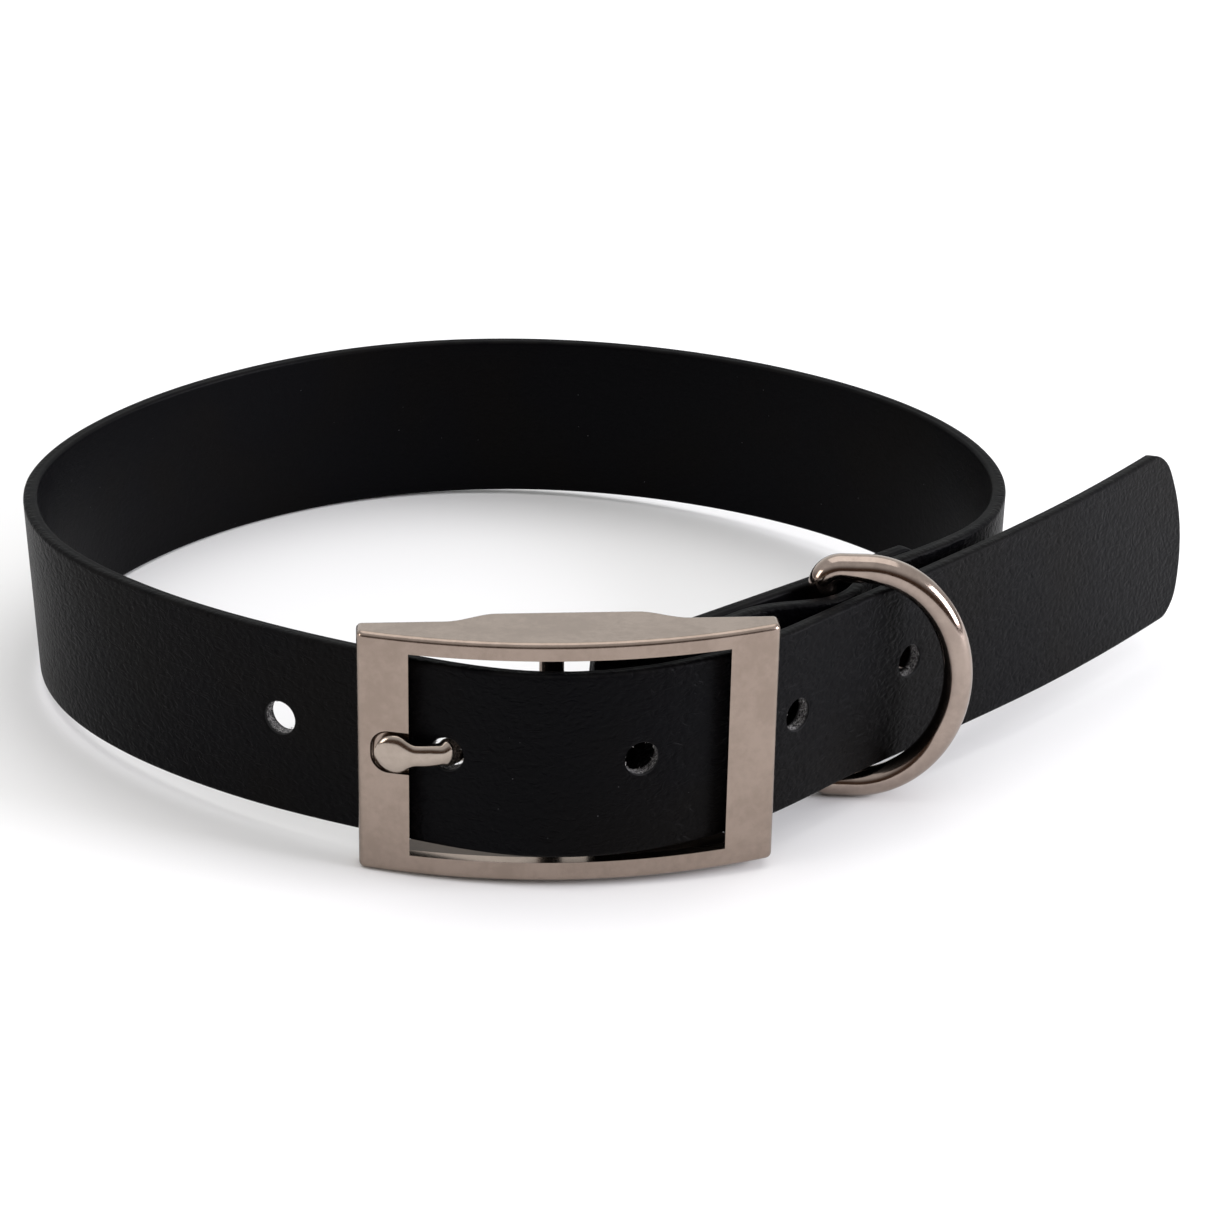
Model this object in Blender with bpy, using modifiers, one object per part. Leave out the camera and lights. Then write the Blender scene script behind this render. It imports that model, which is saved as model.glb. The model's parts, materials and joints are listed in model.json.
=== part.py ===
"""Dog collar: a coated webbing strap with a centre-bar buckle and a D-ring, buckled as it is worn.

The strap starts inside the D-ring, runs to the buckle, folds round the centre bar, comes back over
the ring's straight side, goes once round the neck, passes the buckle and ends in a free tail that
lies through the ring. Metres, +Z up, buckle facing -Y. The collar is modelled level, with z = 0 at
half the strap's width, and then stood on the floor as it rests by itself.
"""
import bpy
import bmesh
import numpy as np
from math import cos, pi, radians, sin
from mathutils import Matrix, Vector

COLLECTION = "dog_collar"
CUTTERS = "cutters"

GAP = 0.0003
OVERSHOOT = 0.002

# Strap
STRAP_WIDTH = 0.0254
STRAP_THICKNESS = 0.0020
STRAP_EDGE = 0.0003
LOOP_WIDTH = 0.1369
LOOP_DEPTH = 0.1220
FLAP_LENGTH = 0.0610
FLAP_BEND = 0.0210
FLAP_START_HEADING = -5.0
FLAP_END_HEADING = 37.0
FLAP_CORNER = 0.0030
FOLD_WIDTH = 0.0154
FOLD_SHOULDER = 0.0052
FOLD_BLEND = 0.0140
WINDOW_BULGE = 0.0048
WINDOW_BULGE_PLACE = -0.0038
SLIP_GAP = 0.00045
SLIP_SLANT = 29.0
TAIL_LENGTH = 0.0800
TAIL_STRAIGHT = 0.0160
TAIL_START_HEADING = 41.0
TAIL_END_HEADING = 49.0
TIP_BOW = 0.0042
TIP_CORNER = 0.0035
END_ZONE = 0.0100
HOLE_DIAMETER = 0.0046
HOLE_PITCH = 0.0245

# Buckle
FRAME_WIDTH = 0.0533
FRAME_HEIGHT = 0.0332
FRAME_BOW = 0.0050
FRAME_END_DEPTH = 0.0033
FRAME_LUG_DEPTH = 0.0055
FRAME_LUG_HALF = 0.0090
FRAME_LUG_BLEND = 0.0065
FRAME_PLATE = 0.0016
FRAME_SIDE_BAR = 0.0064
FRAME_FLANGE = 0.0023
FRAME_ROUND = 0.0010
FRAME_INNER_EDGE = 0.0003
TONGUE_HOLE_INSET = 0.0051
NOTCH_LENGTH = 0.0046
NOTCH_HEIGHT = 0.0058
NOTCH_DEPTH = 0.0008
NOTCH_CORNER = 0.0005

# Centre bar
BAR_DIAMETER = 0.0032
BAR_ACROSS = -0.0020
BAR_BACK = 0.0031
BAR_SEAT = 0.0010

# Tongue
TONGUE_THICKNESS = 0.0015
TONGUE_WIDTH = 0.0026
TONGUE_HEAD_LENGTH = 0.0052
TONGUE_HEAD_WIDTH = 0.0046
TONGUE_HEAD_ROUND = 0.0018
TONGUE_HEAD_TAPER = 0.75
TONGUE_HEAD_THIN = 0.4
TONGUE_NECK = 0.0013
TONGUE_RISE = 0.0005
TONGUE_PITCH = 62.0
TONGUE_EYE_WRAP = 290.0
TONGUE_EYE_START = -105.0
TONGUE_EYE_STEPS = 16
TONGUE_HEAD_REACH = 0.0038

# D-ring
RING_WIRE = 0.0039
RING_INNER_HEIGHT = 0.0274
RING_DEPTH = 0.0186
RING_CORNER = 0.0024
RING_ROUND_START = 0.0055
RING_BUMP_HALF = 0.0125
RING_HEADING = -6.0

# Rivets
RIVET_SHANK = 0.0025
RIVET_HEAD = 0.0064
RIVET_HEAD_HEIGHT = 0.0008
RIVET_EDGE = 0.0002
RIVET_END = 0.0049
RIVET_CLEARANCE = 0.0004

# Columns: place across as a share of LOOP_WIDTH, place behind the buckle as a share of LOOP_DEPTH,
# lean of the wall in degrees with the top outwards.
LOOP_TABLE = (
    (0.439, 0.351, 0.0),
    (0.479, 0.495, 1.0),
    (0.444, 0.683, 0.5),
    (0.333, 0.843, 0.0),
    (0.174, 0.954, 0.0),
    (0.004, 1.000, 0.0),
    (-0.170, 0.976, 0.0),
    (-0.336, 0.873, 0.0),
    (-0.455, 0.723, 1.0),
    (-0.5180, 0.5275, 3.0),
    (-0.4940, 0.354, 1.8),
    (-0.4045, 0.209, -0.3),
    (-0.2865, 0.0985, -1.0),
)
# Lean of the tail in degrees at shares of TAIL_LENGTH from the ring to the tip.
TAIL_LEAN = ((0.0, 0.0), (0.25, -2.0), (0.5, -4.5), (1.0, -8.0))
# Holes: place along the strap in HOLE_PITCH steps from the hole that the tongue fills, and height
# above the strap's middle as a share of TONGUE_RISE.
HOLE_PLACES = ((-0.97, 1.2), (0.0, 1.0), (1.0, 1.2), (2.0, 0.9), (2.94, 1.6))

# The tongue's section: across and through it, as shares of its half width and thickness.
TONGUE_SECTION = ((-1.0, -0.5), (-0.6, -1.0), (0.6, -1.0), (1.0, -0.5),
                  (1.0, 0.5), (0.6, 1.0), (-0.6, 1.0), (-1.0, 0.5))
# Middle of the collar's weight, as shares of LOOP_WIDTH and LOOP_DEPTH from the buckle.
MASS_CENTRE = (0.09, 0.26)
MOST_TILT = 25.0

PATH_STEP = 0.00025
KNOT_STEP = 0.0040
STRAP_COLUMN = 0.0055
FINE_COLUMN = 0.0011
RING_COLUMN = 0.0024
# Rows of the strap's grid as shares of its half width.
STRAP_ROWS = (-1.0, -0.93, -0.8, -0.5, 0.0, 0.5, 0.8, 0.93, 1.0)
FRONT_SEGMENTS = 20
ROUND_SIDES = 20
RIVET_SIDES = 12
CORNER_STEPS = 6
ROUND_STEPS = 31
TONGUE_SECTIONS = 46
HEAD_SECTIONS = 4

BAR_RADIUS = BAR_DIAMETER / 2
FOLD_RADIUS = BAR_RADIUS + GAP + STRAP_THICKNESS / 2
WIRE_RADIUS = RING_WIRE / 2
HALF_STRAP = STRAP_THICKNESS / 2
# Along the flap from the centre bar: the outer rivet near the flap's end, the ring and then the other
# rivet at a rivet's distance from it.
RIVET_TO_RING = RING_BUMP_HALF + RIVET_HEAD / 2 + RIVET_CLEARANCE
RING_PLACE = FLAP_LENGTH - RIVET_END - RIVET_TO_RING
RIVET_PLACES = (RING_PLACE - RIVET_TO_RING, RING_PLACE + RIVET_TO_RING)
BAR_CENTRE = np.array([BAR_ACROSS, BAR_BACK])
INNER_HALF_HEIGHT = FRAME_HEIGHT / 2 - FRAME_FLANGE
RING_HALF_HEIGHT = RING_INNER_HEIGHT / 2 + WIRE_RADIUS
WINDOW_HALF = FRAME_WIDTH / 2 - FRAME_SIDE_BAR


def clear_scene():
    for item in list(bpy.data.objects):
        bpy.data.objects.remove(item, do_unlink=True)


def collection(name):
    group = bpy.data.collections.new(name)
    bpy.context.scene.collection.children.link(group)
    return group


def material(name, colour, roughness, metallic):
    made = bpy.data.materials.new(name)
    made.use_nodes = True
    shader = made.node_tree.nodes["Principled BSDF"]
    shader.inputs["Base Color"].default_value = (*colour, 1.0)
    shader.inputs["Roughness"].default_value = roughness
    shader.inputs["Metallic"].default_value = metallic
    made.diffuse_color = (*colour, 1.0)
    return made


def smoothstep(value):
    value = np.clip(value, 0.0, 1.0)
    return value * value * (3.0 - 2.0 * value)


def heading(degrees):
    return np.array([cos(radians(degrees)), sin(radians(degrees))])


def outward(tangent):
    """The side of a path that faces away from the neck."""
    tangent = np.asarray(tangent)
    return np.stack([tangent[..., 1], -tangent[..., 0]], axis=-1)


def walk(start, length, heading_at):
    """Points a path step apart from start, turning as heading_at says for each distance."""
    count = int(round(length / PATH_STEP)) + 1
    distance = np.linspace(0.0, length, count)
    angle = np.radians(heading_at((distance[1:] + distance[:-1]) / 2))
    step = np.diff(distance)
    moves = np.stack([np.cos(angle) * step, np.sin(angle) * step], axis=1)
    return np.vstack([[start], start + np.cumsum(moves, axis=0)])


def spline(knots):
    """Natural cubic spline through the knots, read every path step."""
    knots = np.array(knots)
    chord = np.linalg.norm(np.diff(knots, axis=0), axis=1)
    place = np.concatenate([[0.0], np.cumsum(chord)])
    count = len(knots)
    matrix = np.eye(count)
    right = np.zeros((count, 2))
    slope = np.diff(knots, axis=0) / chord[:, None]
    for row in range(1, count - 1):
        matrix[row, row - 1:row + 2] = (chord[row - 1], 2 * (chord[row - 1] + chord[row]), chord[row])
        right[row] = 6 * (slope[row] - slope[row - 1])
    bend = np.linalg.solve(matrix, right)
    read = np.linspace(0.0, place[-1], int(place[-1] / PATH_STEP))
    index = np.clip(np.searchsorted(place, read, side="right") - 1, 0, count - 2)
    width = chord[index][:, None]
    after = (read - place[index])[:, None]
    before = width - after
    cubic = (bend[index] * before ** 3 + bend[index + 1] * after ** 3) / (6 * width)
    linear = (knots[index] / width - bend[index] * width / 6) * before
    linear += (knots[index + 1] / width - bend[index + 1] * width / 6) * after
    return cubic + linear


class Path:
    """A plane path with its length measured from its start."""

    def __init__(self, points):
        self.points = np.array(points)
        steps = np.linalg.norm(np.diff(self.points, axis=0), axis=1)
        self.stations = np.concatenate([[0.0], np.cumsum(steps)])
        self.length = self.stations[-1]
        self.tangents = np.gradient(self.points, axis=0)
        self.tangents /= np.linalg.norm(self.tangents, axis=1)[:, None]

    def at(self, station):
        return np.array([np.interp(station, self.stations, self.points[:, k]) for k in (0, 1)])

    def tangent(self, station):
        found = np.array([np.interp(station, self.stations, self.tangents[:, k]) for k in (0, 1)])
        return found / np.linalg.norm(found)

    def normal(self, station):
        return outward(self.tangent(station))

    def nearest(self, point, low=0.0, high=None):
        high = self.length if high is None else high
        distance = np.linalg.norm(self.points - point, axis=1)
        distance[(self.stations < low) | (self.stations > high)] = np.inf
        return self.stations[int(np.argmin(distance))]


def front_of_frame(across):
    """How far the buckle's front stands before its ends, at a place across it."""
    return FRAME_BOW * (1.0 - (2.0 * across / FRAME_WIDTH) ** 2)


def back_of_frame(across):
    """Depth of the buckle's top and bottom behind its ends, deeper at the lugs."""
    blend = smoothstep((np.abs(across) - FRAME_LUG_HALF) / FRAME_LUG_BLEND)
    return FRAME_LUG_DEPTH + (FRAME_END_DEPTH - FRAME_LUG_DEPTH) * blend


def flap_path():
    """Middle of the turned-back end, from the centre bar to its tip."""
    start = BAR_CENTRE - FOLD_RADIUS * outward(heading(FLAP_START_HEADING))
    turn = FLAP_END_HEADING - FLAP_START_HEADING
    return Path(walk(start, FLAP_LENGTH, lambda s: FLAP_START_HEADING + turn * smoothstep(s / FLAP_BEND)))


FLAP = flap_path()
RING_BAR = FLAP.at(RING_PLACE) + FLAP.normal(RING_PLACE) * (HALF_STRAP + GAP + WIRE_RADIUS)


def outer_layer_offset(station):
    """Distance from the flap to the layer that lies over it, at a distance from the centre bar."""
    flat = STRAP_THICKNESS + GAP
    opening = (2 * FOLD_RADIUS - flat) * (1.0 - smoothstep(station / FOLD_BLEND))
    share = np.clip(abs(station - RING_PLACE) / RING_BUMP_HALF, 0.0, 1.0)
    bump = (RING_WIRE + GAP) * np.cos(share * pi / 2) ** 2
    return flat + opening + bump


def behind_bar(across):
    """Middle of the strap where it slips behind a side bar, at the bar's window edge."""
    behind = FRAME_PLATE + SLIP_GAP + HALF_STRAP / cos(radians(SLIP_SLANT))
    return np.array([across, behind - front_of_frame(across)])


def strap_path():
    """The whole strap's middle line, and the lean of its wall at some stations."""
    fold_start = radians(FLAP_START_HEADING) + pi / 2
    fold_angles = np.linspace(fold_start, fold_start + pi, int(pi * FOLD_RADIUS / PATH_STEP))[1:-1]
    fold = BAR_CENTRE + FOLD_RADIUS * np.stack([np.cos(fold_angles), np.sin(fold_angles)], axis=1)

    layer_stations = np.arange(0.0, FLAP_LENGTH, KNOT_STEP)
    over = [FLAP.at(s) + FLAP.normal(s) * outer_layer_offset(s) for s in layer_stations]
    loop = [np.array([LOOP_WIDTH * across, LOOP_DEPTH * back]) for across, back, _ in LOOP_TABLE]

    through = [
        behind_bar(-WINDOW_HALF),
        np.array([WINDOW_BULGE_PLACE, -WINDOW_BULGE]),
        behind_bar(WINDOW_HALF),
    ]
    tail_side = WIRE_RADIUS + GAP + STRAP_THICKNESS + GAP + HALF_STRAP
    tail_start = RING_BAR + tail_side * outward(heading(TAIL_START_HEADING))
    turn = TAIL_END_HEADING - TAIL_START_HEADING
    turn_length = TAIL_LENGTH - TAIL_STRAIGHT
    tail = walk(tail_start, TAIL_LENGTH,
                lambda s: TAIL_START_HEADING + turn * smoothstep((s - TAIL_STRAIGHT) / turn_length))
    tail_knots = tail[::int(2 * KNOT_STEP / PATH_STEP)]

    main = spline(over + loop + through + list(tail_knots[:-1]) + [tail[-1]])
    path = Path(np.vstack([FLAP.points[::-1], fold, main]))
    fold_end = FLAP.length + pi * FOLD_RADIUS
    table = [(0.0, 0.0), (fold_end + FLAP_LENGTH, 0.0)]
    for point, row in zip(loop, LOOP_TABLE):
        table.append((path.nearest(point, low=fold_end), row[2]))
    table.append((path.nearest(through[0], low=fold_end), 0.0))
    ring_station = path.nearest(tail_start, low=table[-1][0])
    for share, lean in TAIL_LEAN:
        table.append((ring_station + share * (path.length - ring_station), lean))
    return path, np.array(table)


STRAP, LEAN = strap_path()
FOLD_MIDDLE = FLAP.length + pi * FOLD_RADIUS / 2
AROUND_NECK = FOLD_MIDDLE + LOOP_WIDTH + LOOP_DEPTH


def tongue_hole_station():
    """Station of the hole that the tongue fills: just inside the left side bar."""
    place = STRAP.points[:, 0] + WINDOW_HALF - TONGUE_HOLE_INSET
    place[STRAP.stations < AROUND_NECK] = np.inf
    return STRAP.stations[int(np.argmin(np.abs(place)))]


TONGUE_HOLE = tongue_hole_station()


def wall_up(station):
    """Direction up the strap's wall at a station."""
    lean = radians(np.interp(station, LEAN[:, 0], LEAN[:, 1]))
    side = STRAP.normal(station)
    return np.array([side[0] * sin(lean), side[1] * sin(lean), cos(lean)])


def half_width(station):
    """Half the strap's width: narrow where it folds round the centre bar."""
    narrow = abs(station - FOLD_MIDDLE) < pi * FOLD_RADIUS / 2 + FOLD_SHOULDER
    return (FOLD_WIDTH if narrow else STRAP_WIDTH) / 2


def end_inset(share, bow, corner):
    """How far an end of the strap is cut back at a share of its half width."""
    from_edge = STRAP_WIDTH / 2 * (1.0 - abs(share))
    rounding = 0.0
    if from_edge < corner:
        rounding = corner - np.sqrt(corner ** 2 - (corner - from_edge) ** 2)
    return bow * share ** 2 + rounding


def strap_columns():
    """Stations of the strap's sections, closer where it bends hard or changes width."""
    shoulders = [FOLD_MIDDLE + side * (pi * FOLD_RADIUS / 2 + FOLD_SHOULDER) for side in (-1, 1)]
    fine = list(np.arange(shoulders[0], shoulders[1], FINE_COLUMN))
    edges = [s + shift for s in shoulders for shift in (-GAP / 2, GAP / 2)]
    ring_columns = np.arange(shoulders[1], shoulders[1] + FLAP_LENGTH, RING_COLUMN)
    ends = [0.0, FLAP_CORNER / 3, FLAP_CORNER, STRAP.length - TIP_CORNER, STRAP.length]
    plain = np.linspace(0.0, STRAP.length, int(STRAP.length / STRAP_COLUMN))
    columns = sorted(edges + ends)
    for station in sorted(fine + list(ring_columns)) + list(plain):
        if min(abs(station - other) for other in columns) > FINE_COLUMN / 2:
            columns.append(station)
    return np.array(sorted(columns))


def mesh_object(name, mesh, group, finish):
    item = bpy.data.objects.new(name, mesh)
    group.objects.link(item)
    mesh.materials.append(finish)
    return item


def strap_mesh():
    """The flat strap as a grid, wound along its path."""
    columns = strap_columns()
    mesh = bpy.data.meshes.new("strap")
    grid = bmesh.new()
    bmesh.ops.create_grid(grid, x_segments=len(columns) - 1, y_segments=len(STRAP_ROWS) - 1, size=0.5)
    for vertex in grid.verts:
        column = int(round((vertex.co.x + 0.5) * (len(columns) - 1)))
        row = int(round((vertex.co.y + 0.5) * (len(STRAP_ROWS) - 1)))
        station = columns[column]
        share = STRAP_ROWS[row]
        if station < END_ZONE:
            station += end_inset(share, 0.0, FLAP_CORNER) * (1.0 - station / END_ZONE)
        left = STRAP.length - station
        if left < END_ZONE:
            station -= end_inset(share, TIP_BOW, TIP_CORNER) * (1.0 - left / END_ZONE)
        place = STRAP.at(station)
        up = wall_up(station) * share * half_width(station)
        vertex.co = (place[0] + up[0], place[1] + up[1], up[2])
    grid.to_mesh(mesh)
    grid.free()
    return mesh


def cylinder_between(name, start, end, radius, group, sides=ROUND_SIDES):
    """A closed cylinder from one point to another."""
    start = Vector(start)
    end = Vector(end)
    mesh = bpy.data.meshes.new(name)
    shape = bmesh.new()
    bmesh.ops.create_cone(shape, cap_ends=True, segments=sides, radius1=radius, radius2=radius,
                          depth=(end - start).length)
    turn = (end - start).to_track_quat("Z", "Y").to_matrix().to_4x4()
    shape.transform(Matrix.Translation((start + end) / 2) @ turn)
    shape.to_mesh(mesh)
    shape.free()
    item = bpy.data.objects.new(name, mesh)
    group.objects.link(item)
    return item


def box_between(name, low, high, group):
    """A closed box between two corners."""
    low = Vector(low)
    high = Vector(high)
    mesh = bpy.data.meshes.new(name)
    shape = bmesh.new()
    bmesh.ops.create_cube(shape, size=1.0)
    shape.transform(Matrix.Translation((low + high) / 2) @ Matrix.Diagonal((*(high - low), 1.0)))
    shape.to_mesh(mesh)
    shape.free()
    item = bpy.data.objects.new(name, mesh)
    group.objects.link(item)
    return item


def as_cutter(item):
    item.hide_render = True
    item.display_type = "WIRE"
    return item


def cut(target, cutter):
    change = target.modifiers.new("cut", "BOOLEAN")
    change.operation = "DIFFERENCE"
    change.solver = "EXACT"
    change.object = as_cutter(cutter)


def bevel(target, width, segments, angle):
    change = target.modifiers.new("edges", "BEVEL")
    change.width = width
    change.segments = segments
    change.limit_method = "ANGLE"
    change.angle_limit = radians(angle)


def apply_modifiers(item):
    """Replace an object's mesh by its evaluated one."""
    depsgraph = bpy.context.evaluated_depsgraph_get()
    mesh = bpy.data.meshes.new_from_object(item.evaluated_get(depsgraph))
    item.modifiers.clear()
    item.data = mesh


def shade(item, angle=35.0):
    item.data.shade_smooth()
    item.data.set_sharp_from_angle(angle=radians(angle))


def hole_ends(place, height, reach):
    """Ends of a hole's line, past both faces of the strap by reach."""
    station = TONGUE_HOLE + place * HOLE_PITCH
    middle = wall_up(station) * height * TONGUE_RISE
    middle[:2] += STRAP.at(station)
    side = np.append(STRAP.normal(station) * (HALF_STRAP + reach), 0.0)
    return middle - side, middle + side


def make_strap(group, cutters, finish):
    item = mesh_object("strap", strap_mesh(), group, finish)
    wall = item.modifiers.new("wall", "SOLIDIFY")
    wall.thickness = STRAP_THICKNESS
    wall.offset = 0.0
    wall.use_even_offset = True
    bevel(item, STRAP_EDGE, 1, 60.0)
    apply_modifiers(item)
    for index, (place, height) in enumerate(HOLE_PLACES):
        cut(item, cylinder_between(f"hole_{index}", *hole_ends(place, height, GAP),
                                   HOLE_DIAMETER / 2, cutters))
    for index, place in enumerate(RIVET_PLACES):
        cut(item, cylinder_between(f"rivet_hole_{index}", *rivet_ends(place, OVERSHOOT),
                                   RIVET_SHANK / 2 + GAP, cutters, RIVET_SIDES))
    slot_half = TONGUE_WIDTH / 2 + GAP
    reach = FOLD_RADIUS + HALF_STRAP + GAP
    left_side = BAR_CENTRE - reach
    right_side = BAR_CENTRE + reach
    cut(item, box_between("tongue_slot", (*left_side, TONGUE_RISE - slot_half),
                          (*right_side, TONGUE_RISE + slot_half), cutters))
    shade(item)
    return item


def rivet_ends(station, reach):
    """Ends of a rivet's line, past both layers by reach."""
    side = FLAP.normal(station)
    inner = FLAP.at(station) - side * (HALF_STRAP + reach)
    outer = FLAP.at(station) + side * (outer_layer_offset(station) + HALF_STRAP + reach)
    return (*inner, 0.0), (*outer, 0.0)


def make_rivet(index, station, group, finish):
    """A shank through both layers with a low round head on each side."""
    start, end = (Vector(point) for point in rivet_ends(station, GAP + RIVET_HEAD_HEIGHT))
    profile = [
        (0.0, 0.0),
        (RIVET_HEAD / 2 - RIVET_EDGE, 0.0),
        (RIVET_HEAD / 2, RIVET_EDGE),
        (RIVET_HEAD / 2, RIVET_HEAD_HEIGHT),
        (RIVET_SHANK / 2, RIVET_HEAD_HEIGHT),
    ]
    length = (end - start).length
    profile += [(radius, length - height) for radius, height in reversed(profile)]
    mesh = bpy.data.meshes.new(f"rivet_{index}")
    line = [(radius, 0.0, height) for radius, height in reversed(profile)]
    mesh.from_pydata(line, [(k, k + 1) for k in range(len(line) - 1)], [])
    item = mesh_object(f"rivet_{index}", mesh, group, finish)
    turned = item.modifiers.new("turned", "SCREW")
    turned.steps = ROUND_SIDES
    turned.render_steps = ROUND_SIDES
    turned.use_merge_vertices = True
    turned.merge_threshold = 0.00001
    apply_modifiers(item)
    item.data.transform((end - start).to_track_quat("Z", "Y").to_matrix().to_4x4())
    item.data.transform(Matrix.Translation(start))
    shade(item)
    return item


def frame_outline():
    """The buckle's outline seen from above: a bowed front and lugs behind."""
    half = FRAME_WIDTH / 2
    front = [(x, -front_of_frame(x)) for x in np.linspace(-half, half, FRONT_SEGMENTS + 1)]
    back = [(x, back_of_frame(x)) for x in np.linspace(half, -half, FRONT_SEGMENTS + 1)]
    return front + back


def plate_cutter_outline():
    """The space behind the front plate, past both ends and the back."""
    half = FRAME_WIDTH / 2 + OVERSHOOT
    inner = [(x, -front_of_frame(x) + FRAME_PLATE) for x in np.linspace(-half, half, FRONT_SEGMENTS + 1)]
    back = FRAME_LUG_DEPTH + OVERSHOOT
    return inner + [(half, back), (-half, back)]


def notch_outline():
    """The space for the tongue's head: a floor that follows the buckle's front."""
    places = np.linspace(-WINDOW_HALF - NOTCH_LENGTH, -WINDOW_HALF + OVERSHOOT, 6)
    floor = [(x, NOTCH_DEPTH - front_of_frame(x)) for x in places]
    before = -FRAME_BOW - OVERSHOOT
    return floor + [(places[-1], before), (places[0], before)]


def extruded(name, outline, half_height, group):
    """A filled flat curve, extruded both ways, as a mesh object."""
    curve = bpy.data.curves.new(name, "CURVE")
    curve.dimensions = "2D"
    curve.fill_mode = "BOTH"
    curve.extrude = half_height
    line = curve.splines.new("POLY")
    line.points.add(len(outline) - 1)
    for point, place in zip(line.points, outline):
        point.co = (place[0], place[1], 0.0, 1.0)
    line.use_cyclic_u = True
    drawn = bpy.data.objects.new(name + "_outline", curve)
    group.objects.link(drawn)
    depsgraph = bpy.context.evaluated_depsgraph_get()
    mesh = bpy.data.meshes.new_from_object(drawn.evaluated_get(depsgraph))
    bpy.data.objects.remove(drawn, do_unlink=True)
    shape = bmesh.new()
    shape.from_mesh(mesh)
    bmesh.ops.remove_doubles(shape, verts=shape.verts, dist=0.00001)
    bmesh.ops.dissolve_limit(shape, angle_limit=radians(0.5), verts=shape.verts, edges=shape.edges)
    bmesh.ops.recalc_face_normals(shape, faces=shape.faces)
    shape.to_mesh(mesh)
    shape.free()
    item = bpy.data.objects.new(name, mesh)
    group.objects.link(item)
    return item


def make_frame(group, cutters, finish):
    """Front plate with its window, and a top and bottom flange that carry the centre bar."""
    item = extruded("buckle_frame", frame_outline(), FRAME_HEIGHT / 2, group)
    item.data.materials.append(finish)
    bevel(item, FRAME_ROUND, 3, 50.0)
    apply_modifiers(item)
    cut(item, extruded("plate_space", plate_cutter_outline(), INNER_HALF_HEIGHT, cutters))
    window_low = (-WINDOW_HALF, -FRAME_BOW - OVERSHOOT, -INNER_HALF_HEIGHT)
    window_high = (WINDOW_HALF, FRAME_PLATE + GAP, INNER_HALF_HEIGHT)
    cut(item, box_between("window", window_low, window_high, cutters))
    notch = extruded("notch", notch_outline(), NOTCH_HEIGHT / 2, cutters)
    notch.data.transform(Matrix.Translation((0.0, 0.0, TONGUE_RISE)))
    bevel(notch, NOTCH_CORNER, 2, 60.0)
    cut(item, notch)
    seat = INNER_HALF_HEIGHT + BAR_SEAT + GAP
    cut(item, cylinder_between("bar_seat", (*BAR_CENTRE, -seat), (*BAR_CENTRE, seat),
                               BAR_RADIUS + GAP, cutters))
    apply_modifiers(item)
    bevel(item, FRAME_INNER_EDGE, 1, 60.0)
    shade(item)
    return item


def make_centre_bar(group, finish):
    end = INNER_HALF_HEIGHT + BAR_SEAT
    item = cylinder_between("centre_bar", (*BAR_CENTRE, -end), (*BAR_CENTRE, end), BAR_RADIUS, group)
    item.data.materials.append(finish)
    shade(item)
    return item


def tongue_line():
    """Middle line of the tongue, from its head to the end of its eye round the centre bar."""
    hole = STRAP.at(TONGUE_HOLE)
    along = STRAP.tangent(TONGUE_HOLE)
    out = STRAP.normal(TONGUE_HOLE)
    pitch = radians(TONGUE_PITCH)
    through = along * cos(pitch) - out * sin(pitch)
    above = NOTCH_DEPTH - GAP - TONGUE_THICKNESS / 2
    head = [np.array([x, above - front_of_frame(x)])
            for x in (-WINDOW_HALF - TONGUE_HEAD_REACH, -WINDOW_HALF - TONGUE_HEAD_REACH / 2, -WINDOW_HALF)]
    over = HALF_STRAP + GAP + TONGUE_THICKNESS / 2
    knee = hole - along * (TONGUE_THICKNESS + GAP) + out * over
    eye_radius = BAR_RADIUS + GAP + TONGUE_THICKNESS / 2
    first = radians(TONGUE_EYE_START)
    wrap = np.linspace(first, first + radians(TONGUE_EYE_WRAP), TONGUE_EYE_STEPS)
    eye = BAR_CENTRE + eye_radius * np.stack([np.cos(wrap), np.sin(wrap)], axis=1)
    knots = head + [knee, hole - through * TONGUE_THICKNESS / 2, hole + through * over]
    return Path(np.vstack([spline(knots + list(eye[:2]))[:-1], eye[1:]]))


def tongue_half_width(station):
    """Wide round head, then a narrow shank."""
    neck = smoothstep((station - TONGUE_HEAD_LENGTH) / TONGUE_NECK)
    wide = TONGUE_HEAD_WIDTH / 2 + (TONGUE_WIDTH - TONGUE_HEAD_WIDTH) / 2 * neck
    if station < TONGUE_HEAD_ROUND:
        wide *= np.sqrt(1.0 - TONGUE_HEAD_TAPER * (1.0 - station / TONGUE_HEAD_ROUND) ** 2)
    return wide


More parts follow.
